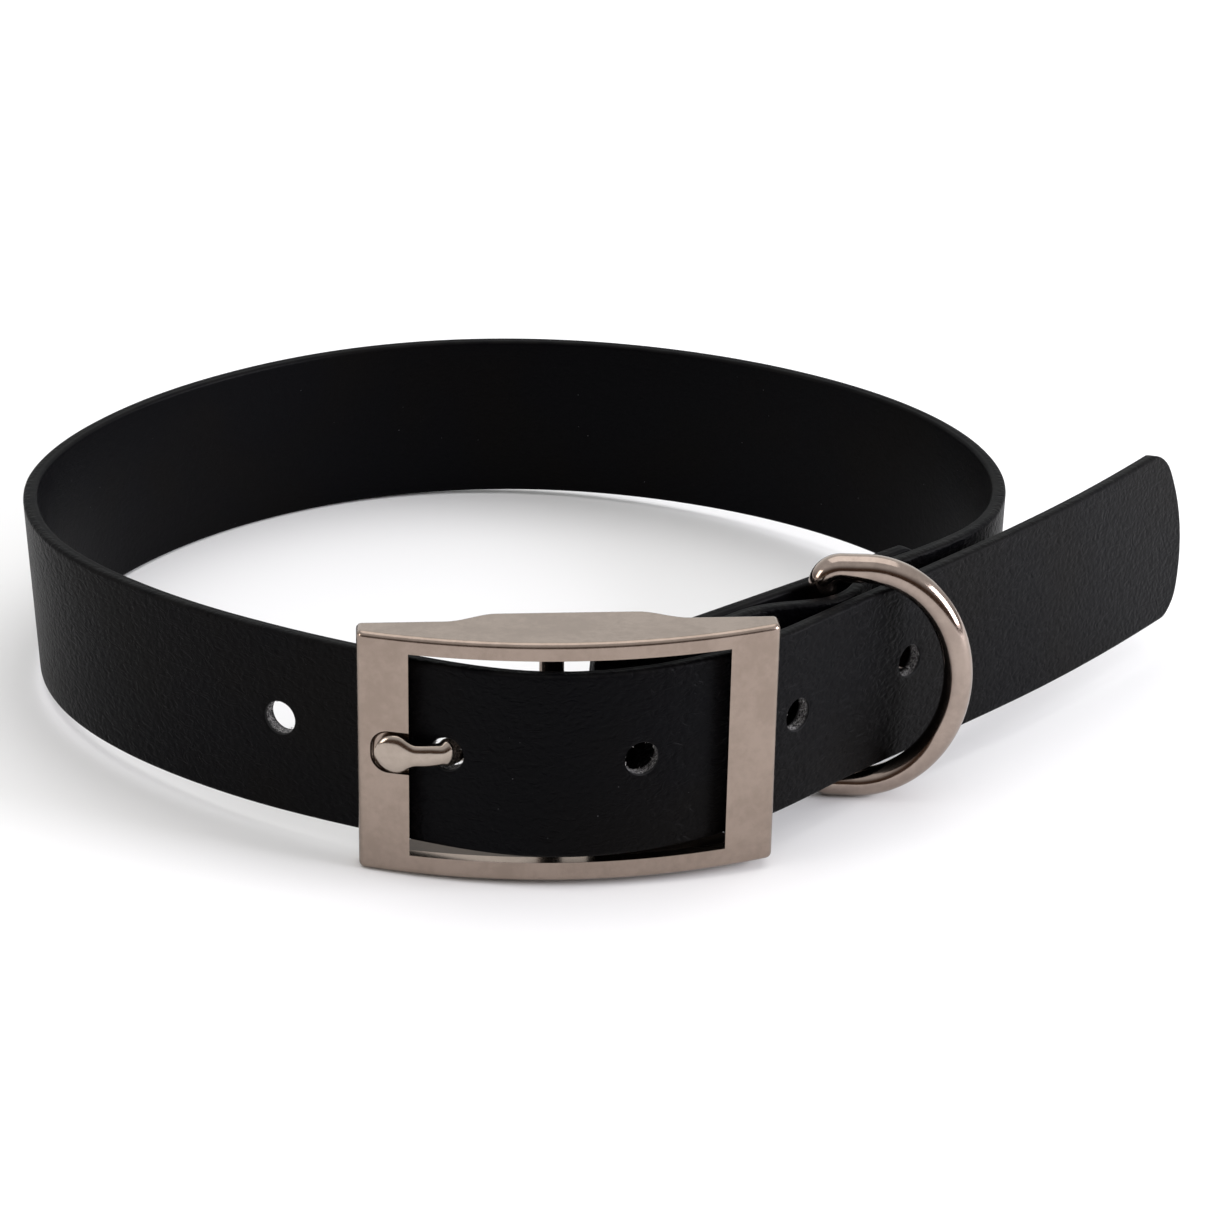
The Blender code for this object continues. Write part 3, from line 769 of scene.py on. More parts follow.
@dataclass(frozen=True)
class CoatedWebbing:
    """Near-black coating: wrinkled outside, calm inside, with a lighter line along the edges that is partly wear
    and partly a painted edge highlight.
    """

    face: tuple = (0.0011, 0.0011, 0.0017)
    warm: tuple = (0.0016, 0.0013, 0.0013)
    # Edge colour: partly rubbed wear, partly a painted highlight of the rounded edge.
    edge_wear_and_sheen: tuple = (0.0042, 0.0039, 0.0039)
    gloss: float = 0.048
    roughness: float = 0.42
    wrinkle: float = 820.0
    pebble: float = 1250.0
    relief: float = 0.00015
    edge_wear_and_sheen_width: float = 0.0005

    def make(self) -> bpy.types.Material:
        """Build the material; it reads the mesh's wrap and rim attributes."""
        graph = Graph("coated_webbing")
        wrap = graph.place("wrap")
        side = graph.axis(wrap, 2)
        outside = side.ramp(-0.0003, 0.0003)
        folds = graph.noise(graph.stretched(wrap, (0.62, 1.0, 0.3)), self.wrinkle, 3.0, 0.55, 0.9)
        creases = 1.0 - abs(folds - 0.5) * 4.5
        pebbles = graph.cells(wrap, self.pebble, "SMOOTH_F1", 0.6)
        fine = graph.noise(wrap, 5200.0, 2.0)
        patches = graph.noise(wrap, 42.0, 2.0)
        height = (creases.clamp() * 0.45 + pebbles * 0.55) * (outside * 0.8 + 0.2) + fine * 0.12
        # The lighter edge line is partly rubbed wear and partly a painted highlight where the rounded edge catches
        # the light.
        rim = 1.0 - graph.number("rim").ramp(self.edge_wear_and_sheen_width * 0.2, self.edge_wear_and_sheen_width)
        rub_and_sheen = rim * graph.noise(wrap, 300.0, 3.0).ramp(0.35, 0.65)
        tint = graph.blend(patches.ramp(0.4, 0.7), self.face, self.warm)
        colour = graph.blend(rub_and_sheen * 0.8, tint, self.edge_wear_and_sheen)
        roughness = self.roughness + (fine - 0.5) * 0.16 + (patches - 0.5) * 0.1 + rim * 0.15
        return graph.dress(colour, roughness, normal=graph.bump(height, self.relief),
                           Specular_IOR_Level=self.gloss)


@dataclass(frozen=True)
class WovenCore:
    """Cut ends of the weave inside the strap, pale fibres between dark coating."""

    dark: tuple = (0.012, 0.012, 0.013)
    pale: tuple = (0.42, 0.41, 0.41)
    roughness: float = 0.8
    layer: float = 0.00062
    middle: float = 0.0

    def make(self) -> bpy.types.Material:
        """Build the material; it reads the mesh's wrap attribute."""
        graph = Graph("woven_core")
        wrap = graph.place("wrap")
        side = graph.axis(wrap, 2)
        depth = 1.0 - abs(side - self.middle).ramp(self.layer * 0.7, self.layer * 1.3)
        strands = graph.noise(graph.stretched(wrap, (1.0, 1.0, 2.6)), 2600.0, 4.0, 0.7, 1.4)
        share = depth * strands.ramp(0.46, 0.6)
        colour = graph.blend(share, self.dark, self.pale)
        return graph.dress(colour, self.roughness, normal=graph.bump(strands, 0.00012),
                           Specular_IOR_Level=0.2)


@dataclass(frozen=True)
class Fibre:
    """A loose thread end or a fleck of dust."""

    name: str
    colour: tuple
    roughness: float = 0.9

    def make(self) -> bpy.types.Material:
        """Build the material."""
        graph = Graph(self.name)
        shade = graph.noise(graph.place(), 2500.0, 2.0)
        darker = tuple(0.5 * channel for channel in self.colour)
        return graph.dress(graph.blend(shade.ramp(0.3, 0.7), darker, self.colour), self.roughness)


@dataclass(frozen=True)
class PlatedMetal:
    """Plated metal: a mottled colour, a hazy or clear shine and a faint grain."""

    name: str
    bright: tuple
    dull: tuple
    roughness: float
    haze: float
    grain: float

    def make(self) -> bpy.types.Material:
        """Build the material on Object coordinates."""
        graph = Graph(self.name)
        place = graph.place()
        clouds = graph.noise(place, 130.0, 4.0, 0.6, 0.6)
        mottle = graph.noise(place, 900.0, 4.0, 0.65)
        speckle = graph.noise(place, 5200.0, 2.0)
        share = (clouds * 0.55 + mottle * 0.45).ramp(0.38, 0.62)
        colour = graph.blend(share, self.dull, self.bright)
        roughness = self.roughness + (mottle - 0.5) * self.haze + (clouds - 0.5) * self.haze
        height = mottle * 0.5 + speckle * 0.5
        return graph.dress(colour, roughness, 1.0, graph.bump(height, self.grain))


@dataclass(frozen=True)
class PaleFloor:
    """A plain pale studio table."""

    colour: tuple = (0.88, 0.88, 0.88)
    shade: tuple = (0.84, 0.84, 0.84)
    roughness: float = 0.75

    def make(self) -> bpy.types.Material:
        """Build the material on Object coordinates."""
        graph = Graph("pale_floor")
        cloud = graph.noise(graph.place(), 3.0, 2.0)
        return graph.dress(graph.blend(cloud.ramp(0.3, 0.7), self.shade, self.colour), self.roughness,
                           Specular_IOR_Level=0.1)


@dataclass
class CentreBar:
    """The pin that the strap folds round; its solid keeps its shape."""

    diameter: float = 0.0032
    across: float = -0.0020
    back: float = 0.0031
    seat: float = 0.0010

    @property
    def radius(self) -> float:
        """Half the diameter."""
        return self.diameter / 2

    @property
    def centre(self) -> np.ndarray:
        """The pin's middle in plan."""
        return np.array([self.across, self.back])


@dataclass
class BuckleFrame:
    """The cast frame: a bowed front with its window, and two flanges that carry the pin."""

    bar: CentreBar
    width: float = 0.0533
    height: float = 0.0332
    bow: float = 0.0050
    end_depth: float = 0.0033
    lug_depth: float = 0.0055
    lug_half: float = 0.0090
    lug_blend: float = 0.0065
    plate: float = 0.0016
    side_bar: float = 0.0064
    sill: float = 0.00045
    flange: float = 0.0023
    edge: float = 0.0010
    inner_edge: float = 0.00035
    notch_length: float = 0.0046
    notch_height: float = 0.0058
    notch_depth: float = 0.0008
    tongue_rise: float = 0.0005
    segments: int = 72
    overshoot: float = 0.002

    @property
    def window_half(self) -> float:
        """Half the window's width."""
        return self.width / 2 - self.side_bar

    @property
    def inner_half(self) -> float:
        """Half the height between the flanges."""
        return self.height / 2 - self.flange

    def front(self, across: np.ndarray | float) -> np.ndarray | float:
        """How far the front stands before its ends at a place across."""
        return self.bow * (1.0 - (2.0 * across / self.width) ** 2)

    def back(self, across: np.ndarray | float) -> np.ndarray | float:
        """Depth of the flanges behind the ends, deeper at the lugs."""
        blend = smoothstep((np.abs(across) - self.lug_half) / self.lug_blend)
        return self.lug_depth + (self.end_depth - self.lug_depth) * blend

    def _notch(self) -> bpy.types.Mesh:
        """The seat for the tongue's head: a round-ended pocket that follows the front."""
        left = -self.window_half - self.notch_length
        low = np.array([left, self.notch_depth - self.front(left)])
        right = -self.window_half
        high = np.array([right, self.notch_depth - self.front(right)])
        along = (high - low) / np.linalg.norm(high - low)
        reach = float(np.linalg.norm(high - low))
        half = self.notch_height / 2
        bend = 0.0024
        turns = np.linspace(pi / 2, pi, 9)
        corner = [(bend + bend * cos(turn), half - bend + bend * sin(turn)) for turn in turns]
        outline = corner + [(x, -z) for x, z in reversed(corner)]
        outline += [(reach + self.overshoot, -half), (reach + self.overshoot, half)]
        mesh = rounded(prism("notch", outline, self.overshoot), 0.0005, 3, 60.0)
        side = Vector((*along, 0.0))
        up = Vector((0.0, 0.0, 1.0))
        depth = side.cross(up)
        turn = Matrix((side, up, depth)).transposed().to_4x4()
        middle = Vector((*low, self.tongue_rise)) + depth * self.overshoot * (1.0 if depth.y < 0 else -1.0)
        mesh.transform(Matrix.Translation(middle) @ turn)
        face_outwards(mesh)
        return mesh

    def build(self, finish: bpy.types.Material, painted_shade_recess: bpy.types.Material) -> bpy.types.Object:
        """Cast the frame, cut its window and round its edges.

        Args:
            finish: The plating.
            painted_shade_recess: Painted shade: a near-black plating on the inside of the flanges and the pin
                seat, standing in for the shade that falls there between strap and frame.

        Returns:
            The piece.
        """
        half = self.width / 2
        line = np.linspace(-half, half, self.segments + 1)
        outline = [(x, -self.front(x)) for x in line] + [(x, self.back(x)) for x in line[::-1]]
        mesh = rounded(prism("frame", outline, self.height / 2), self.edge, 6, 50.0)
        wide = half + self.overshoot
        line = np.linspace(-wide, wide, self.segments + 1)
        deep = self.lug_depth + self.overshoot
        space = [(x, self.plate - self.front(x)) for x in line] + [(wide, deep), (-wide, deep)]
        window = box_outline((-self.window_half, -self.bow - self.overshoot),
                             (self.window_half, self.plate + GAP))
        opening = prism("window", window, self.inner_half - self.sill / 2)
        opening.transform(Matrix.Translation((0.0, 0.0, self.sill / 2)))
        seat = self.inner_half + self.bar.seat + GAP
        pin = lathe("seat", [(self.bar.radius + GAP, -seat), (self.bar.radius + GAP, seat)], 48)
        pin.transform(Matrix.Translation((*self.bar.centre, 0.0)))
        mesh.materials.append(finish)
        tools = [prism("space", space, self.inner_half), opening, self._notch(), pin]
        # The inside of the flanges and the pin seat take painted shade: a near-black plating in place of the shade
        # that falls there.
        for tool, inside in zip(tools, (painted_shade_recess, finish, finish, painted_shade_recess)):
            tool.materials.append(inside)
        mesh = carve(mesh, tools)
        mesh = smooth(rounded(tidied(mesh), self.inner_edge, 3, 55.0), 32.0, even=True)
        return present("frame_casting", mesh, Body.COLLAR, Slot.NICKEL, "buckle_frame")


@dataclass
class StrapRun:
    """The way of the strap: flap, fold round the pin, over the ring, round the neck, out to the tip."""

    bar: CentreBar
    buckle: BuckleFrame
    width: float = 0.0254
    thickness: float = 0.0020
    loop_width: float = 0.1369
    loop_depth: float = 0.1220
    flap_length: float = 0.0610
    flap_bend: float = 0.0210
    flap_start: float = -5.0
    flap_end: float = 37.0
    fold_width: float = 0.0154
    fold_shoulder: float = 0.0052
    fold_blend: float = 0.0140
    bulge: float = 0.0048
    bulge_place: float = -0.0038
    slip_gap: float = 0.00045
    slip_slant: float = 29.0
    tail_length: float = 0.0800
    tail_straight: float = 0.0160
    tail_start: float = 41.0
    tail_end: float = 49.0
    hole_pitch: float = 0.0245
    tongue_inset: float = 0.0051
    wire: float = 0.0039
    ring_place: float = 0.0400
    ring_bump: float = 0.0125
    knot_step: float = 0.0040
    loop: tuple = (
        (0.439, 0.351, 0.0), (0.479, 0.495, 1.0), (0.444, 0.683, 0.5), (0.333, 0.843, 0.0),
        (0.174, 0.954, 0.0), (0.004, 1.000, 0.0), (-0.170, 0.976, 0.0), (-0.336, 0.873, 0.0),
        (-0.455, 0.723, 1.0), (-0.5180, 0.5275, 3.0), (-0.4940, 0.354, 1.8), (-0.4045, 0.209, -0.3),
        (-0.2865, 0.0985, -1.0))
    tail_lean: tuple = ((0.0, 0.0), (0.25, -2.0), (0.5, -4.5), (1.0, -8.0))
    flap: Path = field(init=False)
    path: Path = field(init=False)
    ring_bar: np.ndarray = field(init=False)
    lean: np.ndarray = field(init=False)

    def __post_init__(self) -> None:
        """Lay the route."""
        self.fold_radius = self.bar.radius + GAP + self.thickness / 2
        start = self.bar.centre - self.fold_radius * outward(heading(self.flap_start))
        turn = self.flap_end - self.flap_start
        self.flap = Path(walk(start, self.flap_length,
                              lambda s: self.flap_start + turn * smoothstep(s / self.flap_bend)))
        beside = self.thickness / 2 + GAP + self.wire / 2
        self.ring_bar = self.flap.at(self.ring_place) + self.flap.normal(self.ring_place) * beside
        self._lay()

    def over_flap(self, station: float) -> float:
        """Distance from the flap to the layer over it."""
        flat = self.thickness + GAP
        opening = (2 * self.fold_radius - flat) * (1.0 - smoothstep(station / self.fold_blend))
        share = np.clip(abs(station - self.ring_place) / self.ring_bump, 0.0, 1.0)
        return flat + opening + (self.wire + GAP) * np.cos(share * pi / 2) ** 2

    def _behind(self, across: float) -> np.ndarray:
        """Middle of the strap where it slips behind a side bar."""
        behind = self.buckle.plate + self.slip_gap + self.thickness / 2 / cos(radians(self.slip_slant))
        return np.array([across, behind - self.buckle.front(across)])

    def _lay(self) -> None:
        """Join the stretches into one path and note how the wall leans."""
        first = radians(self.flap_start) + pi / 2
        angles = np.linspace(first, first + pi, int(pi * self.fold_radius / PATH_STEP))[1:-1]
        fold = self.bar.centre + self.fold_radius * np.stack([np.cos(angles), np.sin(angles)], axis=1)
        layers = np.arange(0.0, self.flap_length, self.knot_step)
        over = [self.flap.at(s) + self.flap.normal(s) * self.over_flap(s) for s in layers]
        loop = [np.array([self.loop_width * across, self.loop_depth * back]) for across, back, _ in self.loop]
        through = [self._behind(-self.buckle.window_half), np.array([self.bulge_place, -self.bulge]),
                   self._behind(self.buckle.window_half)]
        aside = self.wire / 2 + GAP + self.thickness + GAP + self.thickness / 2
        start = self.ring_bar + aside * outward(heading(self.tail_start))
        turn = self.tail_end - self.tail_start
        bend = self.tail_length - self.tail_straight
        tail = walk(start, self.tail_length,
                    lambda s: self.tail_start + turn * smoothstep((s - self.tail_straight) / bend))
        knots = tail[::int(2 * self.knot_step / PATH_STEP)]
        main = spline(over + loop + through + list(knots[:-1]) + [tail[-1]])
        self.path = Path(np.vstack([self.flap.points[::-1], fold, main]))
        fold_end = self.flap.length + pi * self.fold_radius
        table = [(0.0, 0.0), (fold_end + self.flap_length, 0.0)]
        for point, row in zip(loop, self.loop):
            table.append((self.path.nearest(point, fold_end), row[2]))
        table.append((self.path.nearest(through[0], fold_end), 0.0))
        ring_station = self.path.nearest(start, table[-1][0])
        for share, lean in self.tail_lean:
            table.append((ring_station + share * (self.path.length - ring_station), lean))
        self.lean = np.array(table)

    @property
    def fold_middle(self) -> float:
        """Station at the middle of the fold."""
        return self.flap.length + pi * self.fold_radius / 2

    @property
    def shoulders(self) -> list:
        """Stations where the strap narrows for the fold and widens again."""
        reach = pi * self.fold_radius / 2 + self.fold_shoulder
        return [self.fold_middle - reach, self.fold_middle + reach]

    def tongue_hole(self) -> float:
        """Station of the hole that the tongue fills."""
        place = self.path.points[:, 0] + self.buckle.window_half - self.tongue_inset
        place[self.path.stations < self.fold_middle + self.loop_width + self.loop_depth] = np.inf
        return float(self.path.stations[int(np.argmin(np.abs(place)))])

    def triad(self, station: float) -> tuple[Vector, Vector, Vector]:
        """Place, way up the wall and way outwards at a station.

        Args:
            station: Distance along the strap.

        Returns:
            The three vectors.
        """
        side = self.path.normal(station)
        lean = radians(float(np.interp(station, self.lean[:, 0], self.lean[:, 1])))
        up = Vector((side[0] * sin(lean), side[1] * sin(lean), cos(lean)))
        level = Vector((*side, 0.0))
        out = (level - up * level.dot(up)).normalized()
        return Vector((*self.path.at(station), 0.0)), up, out

    def half_width(self, station: float) -> float:
        """Half the strap's width, narrow at the fold."""
        inside = min(station - self.shoulders[0], self.shoulders[1] - station)
        share = float(smoothstep(np.array(0.5 + inside / 0.0006)))
        return (self.width + (self.fold_width - self.width) * share) / 2


@dataclass
class Webbing:
    """The coated strap: a flat band with round edges, shaped ends, punched holes and a slot."""

    run: StrapRun
    edge: float = 0.00050
    tip_bow: float = 0.0042
    tip_corner: float = 0.0035
    flap_corner: float = 0.0030
    end_zone: float = 0.0100
    column: float = 0.0010
    fold_column: float = 0.0005
    hole: float = 0.0045
    flare: float = 0.00012
    rise: float = 0.0005
    slot_height: float = 0.0032
    shank: float = 0.0031
    places: tuple = ((-0.97, 1.2), (0.0, 1.0), (1.0, 1.2), (2.0, 0.9), (2.94, 1.6))
    rivets: tuple = (0.0239, 0.0561)
    rows: tuple = (0.0, 0.00003, 0.0001, 0.00022, 0.00036, 0.0005, 0.0008, 0.0013, 0.0020, 0.0028,
                   0.0038, 0.0053, 0.0071, 0.0089, 0.0108, 0.0127)

    def _inset(self, share: float, bow: float, corner: float) -> float:
        """How far an end is cut back at a share of the half width."""
        from_edge = self.run.width / 2 * (1.0 - abs(share))
        rounding = 0.0
        if from_edge < corner:
            rounding = corner - (corner ** 2 - (corner - from_edge) ** 2) ** 0.5
        return bow * share ** 2 + rounding

    def _columns(self) -> list:
        """Stations of the sections, close together at the ends and the fold."""
        length = self.run.path.length
        ends = [distance for distance in self.rows if distance < self.end_zone]
        columns = ends + [length - distance for distance in ends]
        low, high = self.run.shoulders
        for shoulder in (low, high):
            columns += list(shoulder + np.linspace(-0.0003, 0.0003, 5))
        fine = list(np.arange(low, high, self.fold_column))
        plain = list(np.linspace(0.0, length, int(length / self.column)))
        for group, space in ((fine, self.fold_column), (plain, self.column)):
            settled = np.array(sorted(columns))
            for station in group:
                if np.abs(settled - station).min() > space * 0.6:
                    columns.append(station)
        return sorted(columns)

    def _band(self) -> bpy.types.Mesh:
        """The strap before it is punched."""
        length = self.run.path.length
        shares = [1.0 - distance / (self.run.width / 2) for distance in self.rows]
        shares = [-share for share in shares] + shares[-2::-1]
        columns = self._columns()
        outer = []
        inner = []
        for column in columns:
            for share in shares:
                station = column
                to_end = min(column, length - column)
                if column < self.end_zone:
                    inset = self._inset(share, 0.0, self.flap_corner)
                    station += inset * (1.0 - column / self.end_zone)
                    to_end = column * (1.0 - inset / self.end_zone)
                left = length - column
                if left < self.end_zone:
                    inset = self._inset(share, self.tip_bow, self.tip_corner)
                    station -= inset * (1.0 - left / self.end_zone)
                    to_end = left * (1.0 - inset / self.end_zone)
                place, up, out = self.run.triad(station)
                half = self.run.half_width(station)
                inward = self.edge - min(self.edge, to_end, half * (1.0 - abs(share)))
                thick = self.run.thickness / 2 - self.edge + (self.edge ** 2 - inward ** 2) ** 0.5
                middle = place + up * share * half
                outer.append(middle + out * thick)
                inner.append(middle - out * thick)
        return mesh_from("band", outer + inner, self._band_faces(len(columns), len(shares)))

    @staticmethod
    def _band_faces(columns: int, rows: int) -> list:
        """Faces of a closed band: both sides and the rim between them."""
        count = columns * rows
        faces = []
        for column in range(columns - 1):
            for row in range(rows - 1):
                first = column * rows + row
                quad = (first, first + 1, first + rows + 1, first + rows)
                faces += [quad, tuple(count + corner for corner in reversed(quad))]
        rim = [column * rows for column in range(columns)]
        rim += [(columns - 1) * rows + row for row in range(1, rows)]
        rim += [column * rows + rows - 1 for column in range(columns - 2, -1, -1)]
        rim += list(range(rows - 2, 0, -1))
        for corner, after in zip(rim, rim[1:] + rim[:1]):
            faces.append((corner, after, after + count, corner + count))
        return faces

    def hole_line(self, place: float, height: float) -> tuple[Vector, Vector]:
        """Middle of a hole and the way through it.

        Args:
            place: Place in pitches from the hole that the tongue fills.
            height: Height as a share of the tongue's rise.

        Returns:
            The middle and the direction outwards.
        """
        station = self.run.tongue_hole() + place * self.run.hole_pitch
        middle, up, out = self.run.triad(station)
        return middle + up * height * self.rise, out

    def _punches(self, core: bpy.types.Material) -> list:
        """Tools for the holes, the rivets and the tongue's slot, in the finish of the cut."""
        half = self.run.thickness / 2
        radius = self.hole / 2
        steps = [(radius + self.flare, half + GAP * 0.9), (radius + self.flare, half),
                 (radius + self.flare * 0.45, half - self.flare * 0.35),
                 (radius + self.flare * 0.12, half - self.flare * 0.9), (radius, half - self.flare * 1.7)]
        profile = steps + [(wide, -height) for wide, height in reversed(steps)]
        tools = []
        for place, height in self.places:
            tool = lathe("punch", profile, 56)
            middle, out = self.hole_line(place, height)
            tool.transform(turn_to(out, middle))
            tools.append(tool)
        for station in self.rivets:
            reach = self.run.over_flap(station)
            side = Vector((*self.run.flap.normal(station), 0.0))
            middle = Vector((*self.run.flap.at(station), 0.0)) + side * reach / 2
            deep = reach / 2 + half + 0.002
            tool = lathe("rivet_hole", [(self.shank / 2, -deep), (self.shank / 2, deep)], 32)
            tool.transform(turn_to(side, middle))
            tools.append(tool)
        reach = self.run.fold_radius + half + GAP
        centre = self.run.bar.centre
        slot = prism("slot", box_outline(tuple(centre - reach), tuple(centre + reach)), self.slot_height / 2)
        slot.transform(Matrix.Translation((0.0, 0.0, self.rise)))
        tools.append(slot)
        for tool in tools:
            tool.materials.append(core)
        return tools

    def _mark(self, mesh: bpy.types.Mesh) -> None:
        """Write where each corner lies on the unrolled strap, and how far from its rim.

        Args:
            mesh: The punched strap.
        """
        length = self.run.path.length
        heights = np.linspace(-1.0, 1.0, 13) * self.run.width / 2
        stations = np.linspace(0.0, length, int(length / 0.0005))
        known = []
        for station in stations:
            triad = self.run.triad(station)
            known += [(station, height, triad) for height in heights]
        finder = kdtree.KDTree(len(known))
        for index, (_, height, (place, up, _)) in enumerate(known):
            finder.insert(place + up * height, index)
        finder.balance()
        wrap = np.zeros((len(mesh.vertices), 3))
        for index, vertex in enumerate(mesh.vertices):
            _, found, _ = finder.find(vertex.co)
            station, height, (place, up, out) = known[found]
            away = vertex.co - place
            along = up.cross(out)
            wrap[index] = (station + away.dot(along), away.dot(up), away.dot(out))
        rim = np.minimum(self.run.width / 2 - np.abs(wrap[:, 1]), np.minimum(wrap[:, 0], length - wrap[:, 0]))
        mesh.attributes.new("wrap", "FLOAT_VECTOR", "POINT").data.foreach_set("vector", wrap.ravel())
        mesh.attributes.new("rim", "FLOAT", "POINT").data.foreach_set("value", rim)

    def build(self, finish: bpy.types.Material, core: bpy.types.Material) -> bpy.types.Object:
        """Make the strap.

        Args:
            finish: The coating.
            core: The cut walls.

        Returns:
            The piece.
        """
        band = self._band()
        band.materials.append(finish)
        mesh = smooth(carve(band, self._punches(core)), 40.0)
        self._mark(mesh)
        return present("strap_webbing", mesh, Body.COLLAR, Slot.WEBBING, "strap")


@dataclass
class HoleFibres:
    """Loose thread ends round the wall of each punched hole."""

    webbing: Webbing
    count: int = 46
    length: float = 0.00042
    radius: float = 0.00003
    seed: int = 7

    def _walls(self) -> bpy.types.Mesh:
        """A band just inside each hole's wall."""
        half = self.webbing.run.thickness * 0.3
        radius = self.webbing.hole / 2 - 0.00002
        sides = 24
        points = []
        faces = []
        for place, height in self.webbing.places:
            middle, out = self.webbing.hole_line(place, height)
            matrix = turn_to(out, middle)
            first = len(points)
            for level in (-half, half):
                points += [matrix @ Vector((radius * cos(CIRCLE * k / sides), radius * sin(CIRCLE * k / sides),
                                            level)) for k in range(sides)]
            for k in range(sides):
                after = (k + 1) % sides
                faces.append((first + k, first + sides + k, first + sides + after, first + after))
        mesh = bpy.data.meshes.new("walls")
        mesh.from_pydata([tuple(point) for point in points], [], faces)
        return mesh

    def build(self, finish: bpy.types.Material) -> bpy.types.Object:
        """Grow the thread ends on the walls.

        Args:
            finish: The thread.

        Returns:
            The piece.
        """
        walls = self._walls()
        area = sum(face.area for face in walls.polygons)
        tree = Growth("hole_fibres")
        density = tree.size("Ends per square metre", self.count * len(self.webbing.places) / area)
        length = tree.size("Length", self.length)
        radius = tree.size("Radius", self.radius)
        seed = tree.size("Seed", self.seed)
        points = tree.node("GeometryNodeDistributePointsOnFaces", None, {
            "Mesh": tree.entry.outputs[0], "Density": density, "Seed": seed})
        thread = tree.node("GeometryNodeMeshCone", {"fill_type": "NGON"}, {
            "Vertices": 5, "Radius Top": radius, "Radius Bottom": radius, "Depth": length})
        tilt = tree.node("FunctionNodeRandomValue", {"data_type": "FLOAT_VECTOR"}, {
            "Min": (-1.1, -1.1, 0.0), "Max": (1.1, 1.1, CIRCLE), "Seed": seed})
        turned = tree.node("FunctionNodeRotateRotation", {"rotation_space": "LOCAL"}, {
            "Rotation": points.outputs["Rotation"], "Rotate By": tilt.outputs[0]})
        size = tree.node("FunctionNodeRandomValue", {"data_type": "FLOAT"}, {
            2: 0.4, 3: 1.2, "Seed": seed})
        spread = tree.node("GeometryNodeInstanceOnPoints", None, {
            "Points": points.outputs["Points"], "Instance": thread.outputs["Mesh"],
            "Rotation": turned.outputs[0], "Scale": size.outputs[1]})
        mesh = tree.grow(loose(walls), spread.outputs[0], finish)
        return present("hole_fibres", mesh, Body.COLLAR, Slot.WEBBING)


@dataclass
class DustFlecks:
    """Fine dust scattered over the whole strap."""

    count: int = 150
    size: float = 0.00006
    seed: int = 3

    def build(self, strap: bpy.types.Object, finish: bpy.types.Material) -> bpy.types.Object:
        """Scatter the flecks over the strap.

        Args:
            strap: The finished strap.
            finish: The dust.

        Returns:
            The piece.
        """
        ground = strap.data.copy()
        area = sum(face.area for face in ground.polygons)
        tree = Growth("dust_flecks")
        density = tree.size("Flecks per square metre", self.count / area)
        radius = tree.size("Radius", self.size)
        seed = tree.size("Seed", self.seed)
        points = tree.node("GeometryNodeDistributePointsOnFaces", None, {
            "Mesh": tree.entry.outputs[0], "Density": density, "Seed": seed})
        fleck = tree.node("GeometryNodeMeshIcoSphere", None, {"Radius": radius, "Subdivisions": 1})
        scale = tree.node("FunctionNodeRandomValue", {"data_type": "FLOAT_VECTOR"}, {
            "Min": (0.35, 0.35, 0.3), "Max": (1.5, 1.0, 0.6), "Seed": seed})
        spread = tree.node("GeometryNodeInstanceOnPoints", None, {
            "Points": points.outputs["Points"], "Instance": fleck.outputs["Mesh"],
            "Rotation": points.outputs["Rotation"], "Scale": scale.outputs[0]})
        mesh = tree.grow(loose(ground), spread.outputs[0], finish)
        mesh.transform(rest_matrix().inverted())
        return present("dust_flecks", mesh, Body.COLLAR, Slot.WEBBING)


